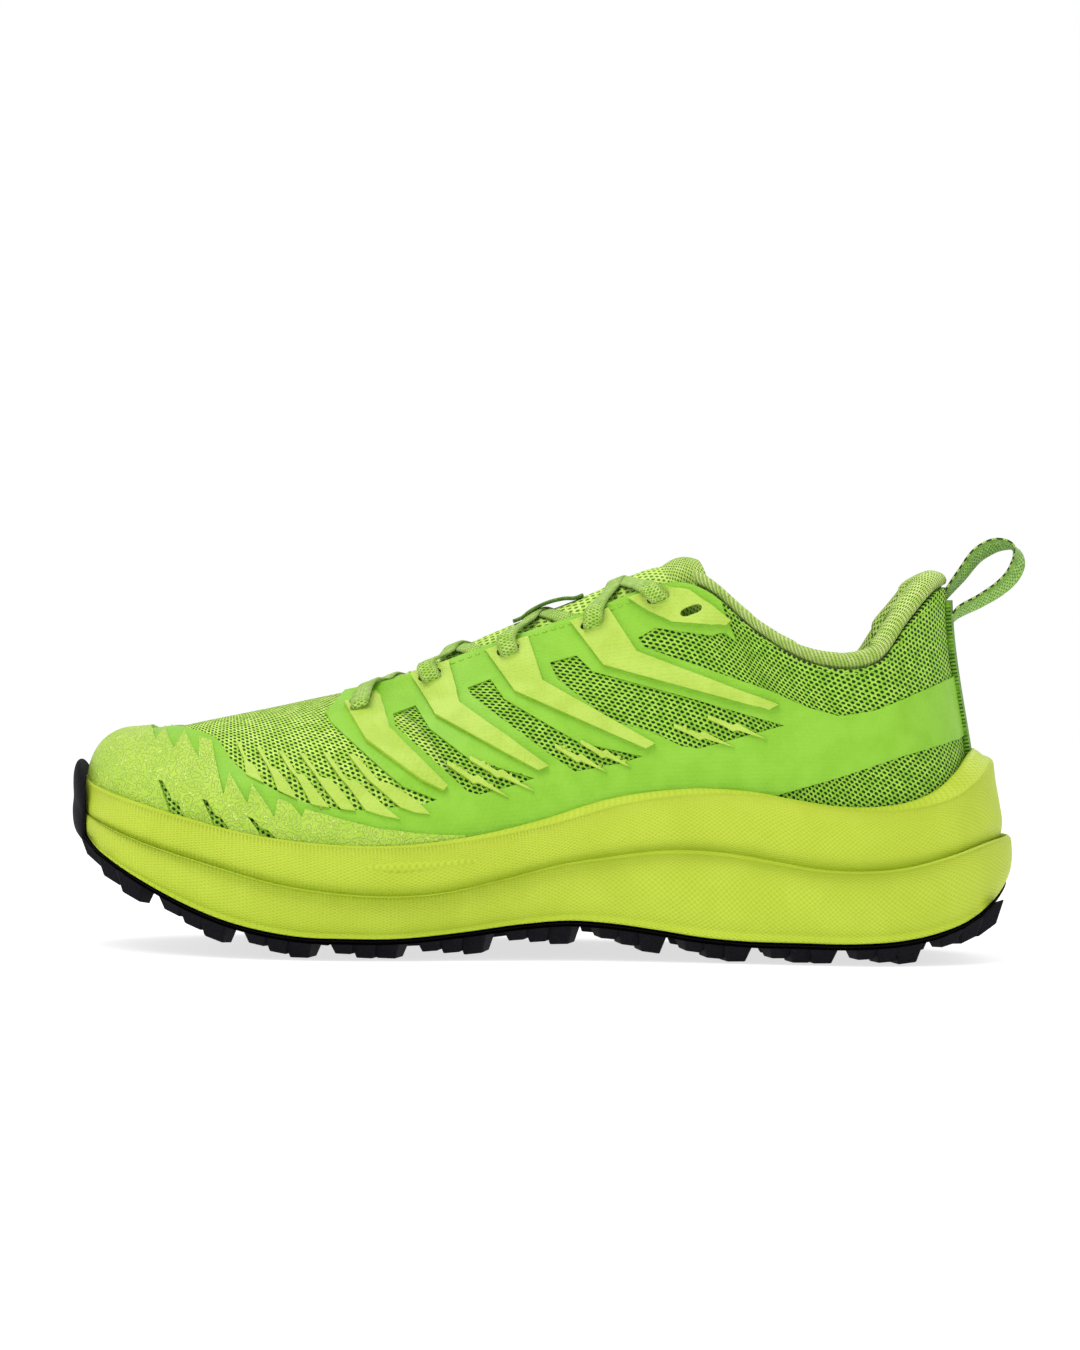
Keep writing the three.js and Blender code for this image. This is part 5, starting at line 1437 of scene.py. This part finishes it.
LOOP_LINE = [(126.6, 113.4), (129.6, 117.6), (133, 122), (138.4, 128.8), (144.5, 131.8), (149.5, 130.9),
             (151.2, 127.2), (149.7, 122.6), (145.6, 118.2), (139, 113.8), (132.4, 110.2), (129.8, 107.4)]
loop_points = np.array([(x, 0, z) for x, z in LOOP_LINE])
twist = [(0.45 * math.sin(math.pi * k / 11), 0.9, -0.25) for k in range(len(loop_points))]
pull_loop, loop_length = strap("pull_loop_webbing", loop_points, twist, 12, 1.5, step=1,
                               around_count=20, body="pull_loop")
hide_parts("pull_loop")
paint(pull_loop, loop_weave)

strip_sheet = flat_grid((LAST - 0.7, LAST + 0.7), (0.24, 1.0), step=0.4)
strip_outline = [(LAST - 0.56, 0.27), (LAST + 0.56, 0.27), (LAST + 0.38, 0.95), (LAST - 0.38, 0.95)]
cut(strip_sheet, strip_outline, keep_inside=True)
strip = lay("heel_strip_webbing", strip_sheet, 0.05, 1.8, bevel=0.4)
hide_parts("heel_strip")
paint(strip, webbing_weave)
print("pull loop", round(loop_length), "mm long")

# %% [markdown]
# ## Stitches
# Rows of thread follow the edge of the throat and the collar seam. Each stitch is a small rounded bead, long
# along its row, half sunk into the cloth.

# %% Stitch rows
def stitch_row(mesh, places, rises, offset, pitch=2.8, long=1.9, thick=0.45):
    """Adds stitches along a path of places and rises on the wall."""
    path = layer_point(np.linspace(*places, 400), np.linspace(*rises, 400), np.full(400, offset))
    far = np.concatenate([[0], np.cumsum(np.linalg.norm(np.diff(path, axis=0), axis=1))])
    for at in np.arange(pitch / 2, far[-1], pitch):
        middle = Vector([np.interp(at, far, path[:, k]) for k in range(3)])
        ahead = Vector([np.interp(at + 0.5, far, path[:, k]) for k in range(3)]) - middle
        if ahead.length < 1e-6:
            continue
        turn = ahead.to_track_quat("X", "Z").to_matrix().to_4x4()
        place = Matrix.Translation(middle) @ turn @ Matrix.Diagonal((long, thick, thick, 1))
        bmesh.ops.create_icosphere(mesh, subdivisions=1, radius=0.5, matrix=place)


stitches = bmesh.new()
stitches.loops.layers.uv.new("mm")
for sign in (1, -1):
    for t, from_p, to_p in ((0.955, 8.2, 11.6), (0.975, 12.4, 18.7)):
        stitch_row(stitches, (sign * from_p, sign * to_p), (t, t), 0.35 if t > 0.96 else 0.9)
stitch_piece = to_object("stitches", stitches)
paint(stitch_piece, thread_pale)
print("stitches:", len(stitch_piece.data.polygons), "faces")

# %% [markdown]
# ## Inner layers
# The board, toe puff, heel counter, eyestay facings and lace tips keep the maker's shapes, which are right as
# they are. They only need a finish.

# %% Finishes on the hidden layers
HIDDEN = {"strobel_board": board_white, "toe_puff": stiff_grey, "heel_counter": stiff_grey,
          "eyestay_facing_medial": facing_green, "eyestay_facing_lateral": facing_green,
          "aglet_medial": aglet_clear, "aglet_lateral": aglet_clear}
for node, finish in HIDDEN.items():
    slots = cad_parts[node].material_slots
    for slot in slots:
        slot.material = finish
print("finished", len(HIDDEN), "hidden layers")

# %% [markdown]
# ## Room and light
# A pale floor and an even white room, with one large soft lamp above and in front and a weaker one behind, so
# the ribs and the wrinkles of the cap still cast fine shadows.

# %% Floor, room and lamps
floor_mesh = bmesh.new()
bmesh.ops.create_grid(floor_mesh, x_segments=1, y_segments=1, size=4)
floor_data = bpy.data.meshes.new("floor")
floor_mesh.to_mesh(floor_data)
floor_mesh.free()
floor = bpy.data.objects.new("floor", floor_data)
floor.location.z = -0.0005
scene.collection.objects.link(floor)
floor_finish = bpy.data.materials.new("floor")
floor_finish.use_nodes = True
floor_shader = floor_finish.node_tree.nodes["Principled BSDF"]
floor_shader.inputs["Base Color"].default_value = (0.5, 0.5, 0.5, 1)
floor_shader.inputs["Roughness"].default_value = 1.0
floor_shader.inputs["Specular IOR Level"].default_value = 0.0
floor_shader.inputs["Emission Color"].default_value = (1, 1, 1, 1)
floor_shader.inputs["Emission Strength"].default_value = 0.7
floor_data.materials.append(floor_finish)

room = bpy.data.worlds.new("room")
room.use_nodes = True
background = room.node_tree.nodes["Background"]
background.inputs["Color"].default_value = (1, 1, 1, 1)
rays = room.node_tree.nodes.new("ShaderNodeLightPath")
strength = room.node_tree.nodes.new("ShaderNodeMapRange")
strength.inputs["To Min"].default_value = 0.72
strength.inputs["To Max"].default_value = 1.0
room.node_tree.links.new(rays.outputs["Is Camera Ray"], strength.inputs["Value"])
room.node_tree.links.new(strength.outputs["Result"], background.inputs["Strength"])
scene.world = room


def soft_lamp(name, place, target, size, power):
    data = bpy.data.lights.new(name, "AREA")
    data.size = size
    data.energy = power
    lamp = bpy.data.objects.new(name, data)
    lamp.location = place
    lamp.rotation_euler = (Vector(target) - Vector(place)).to_track_quat("-Z", "Y").to_euler()
    scene.collection.objects.link(lamp)
    return lamp


soft_lamp("lamp above", (-0.3, -0.5, 1.1), (0, 0, 0.05), 0.7, 7)
soft_lamp("lamp behind", (0.4, 0.8, 0.9), (0, 0, 0.05), 0.7, 4)
print("two lamps")
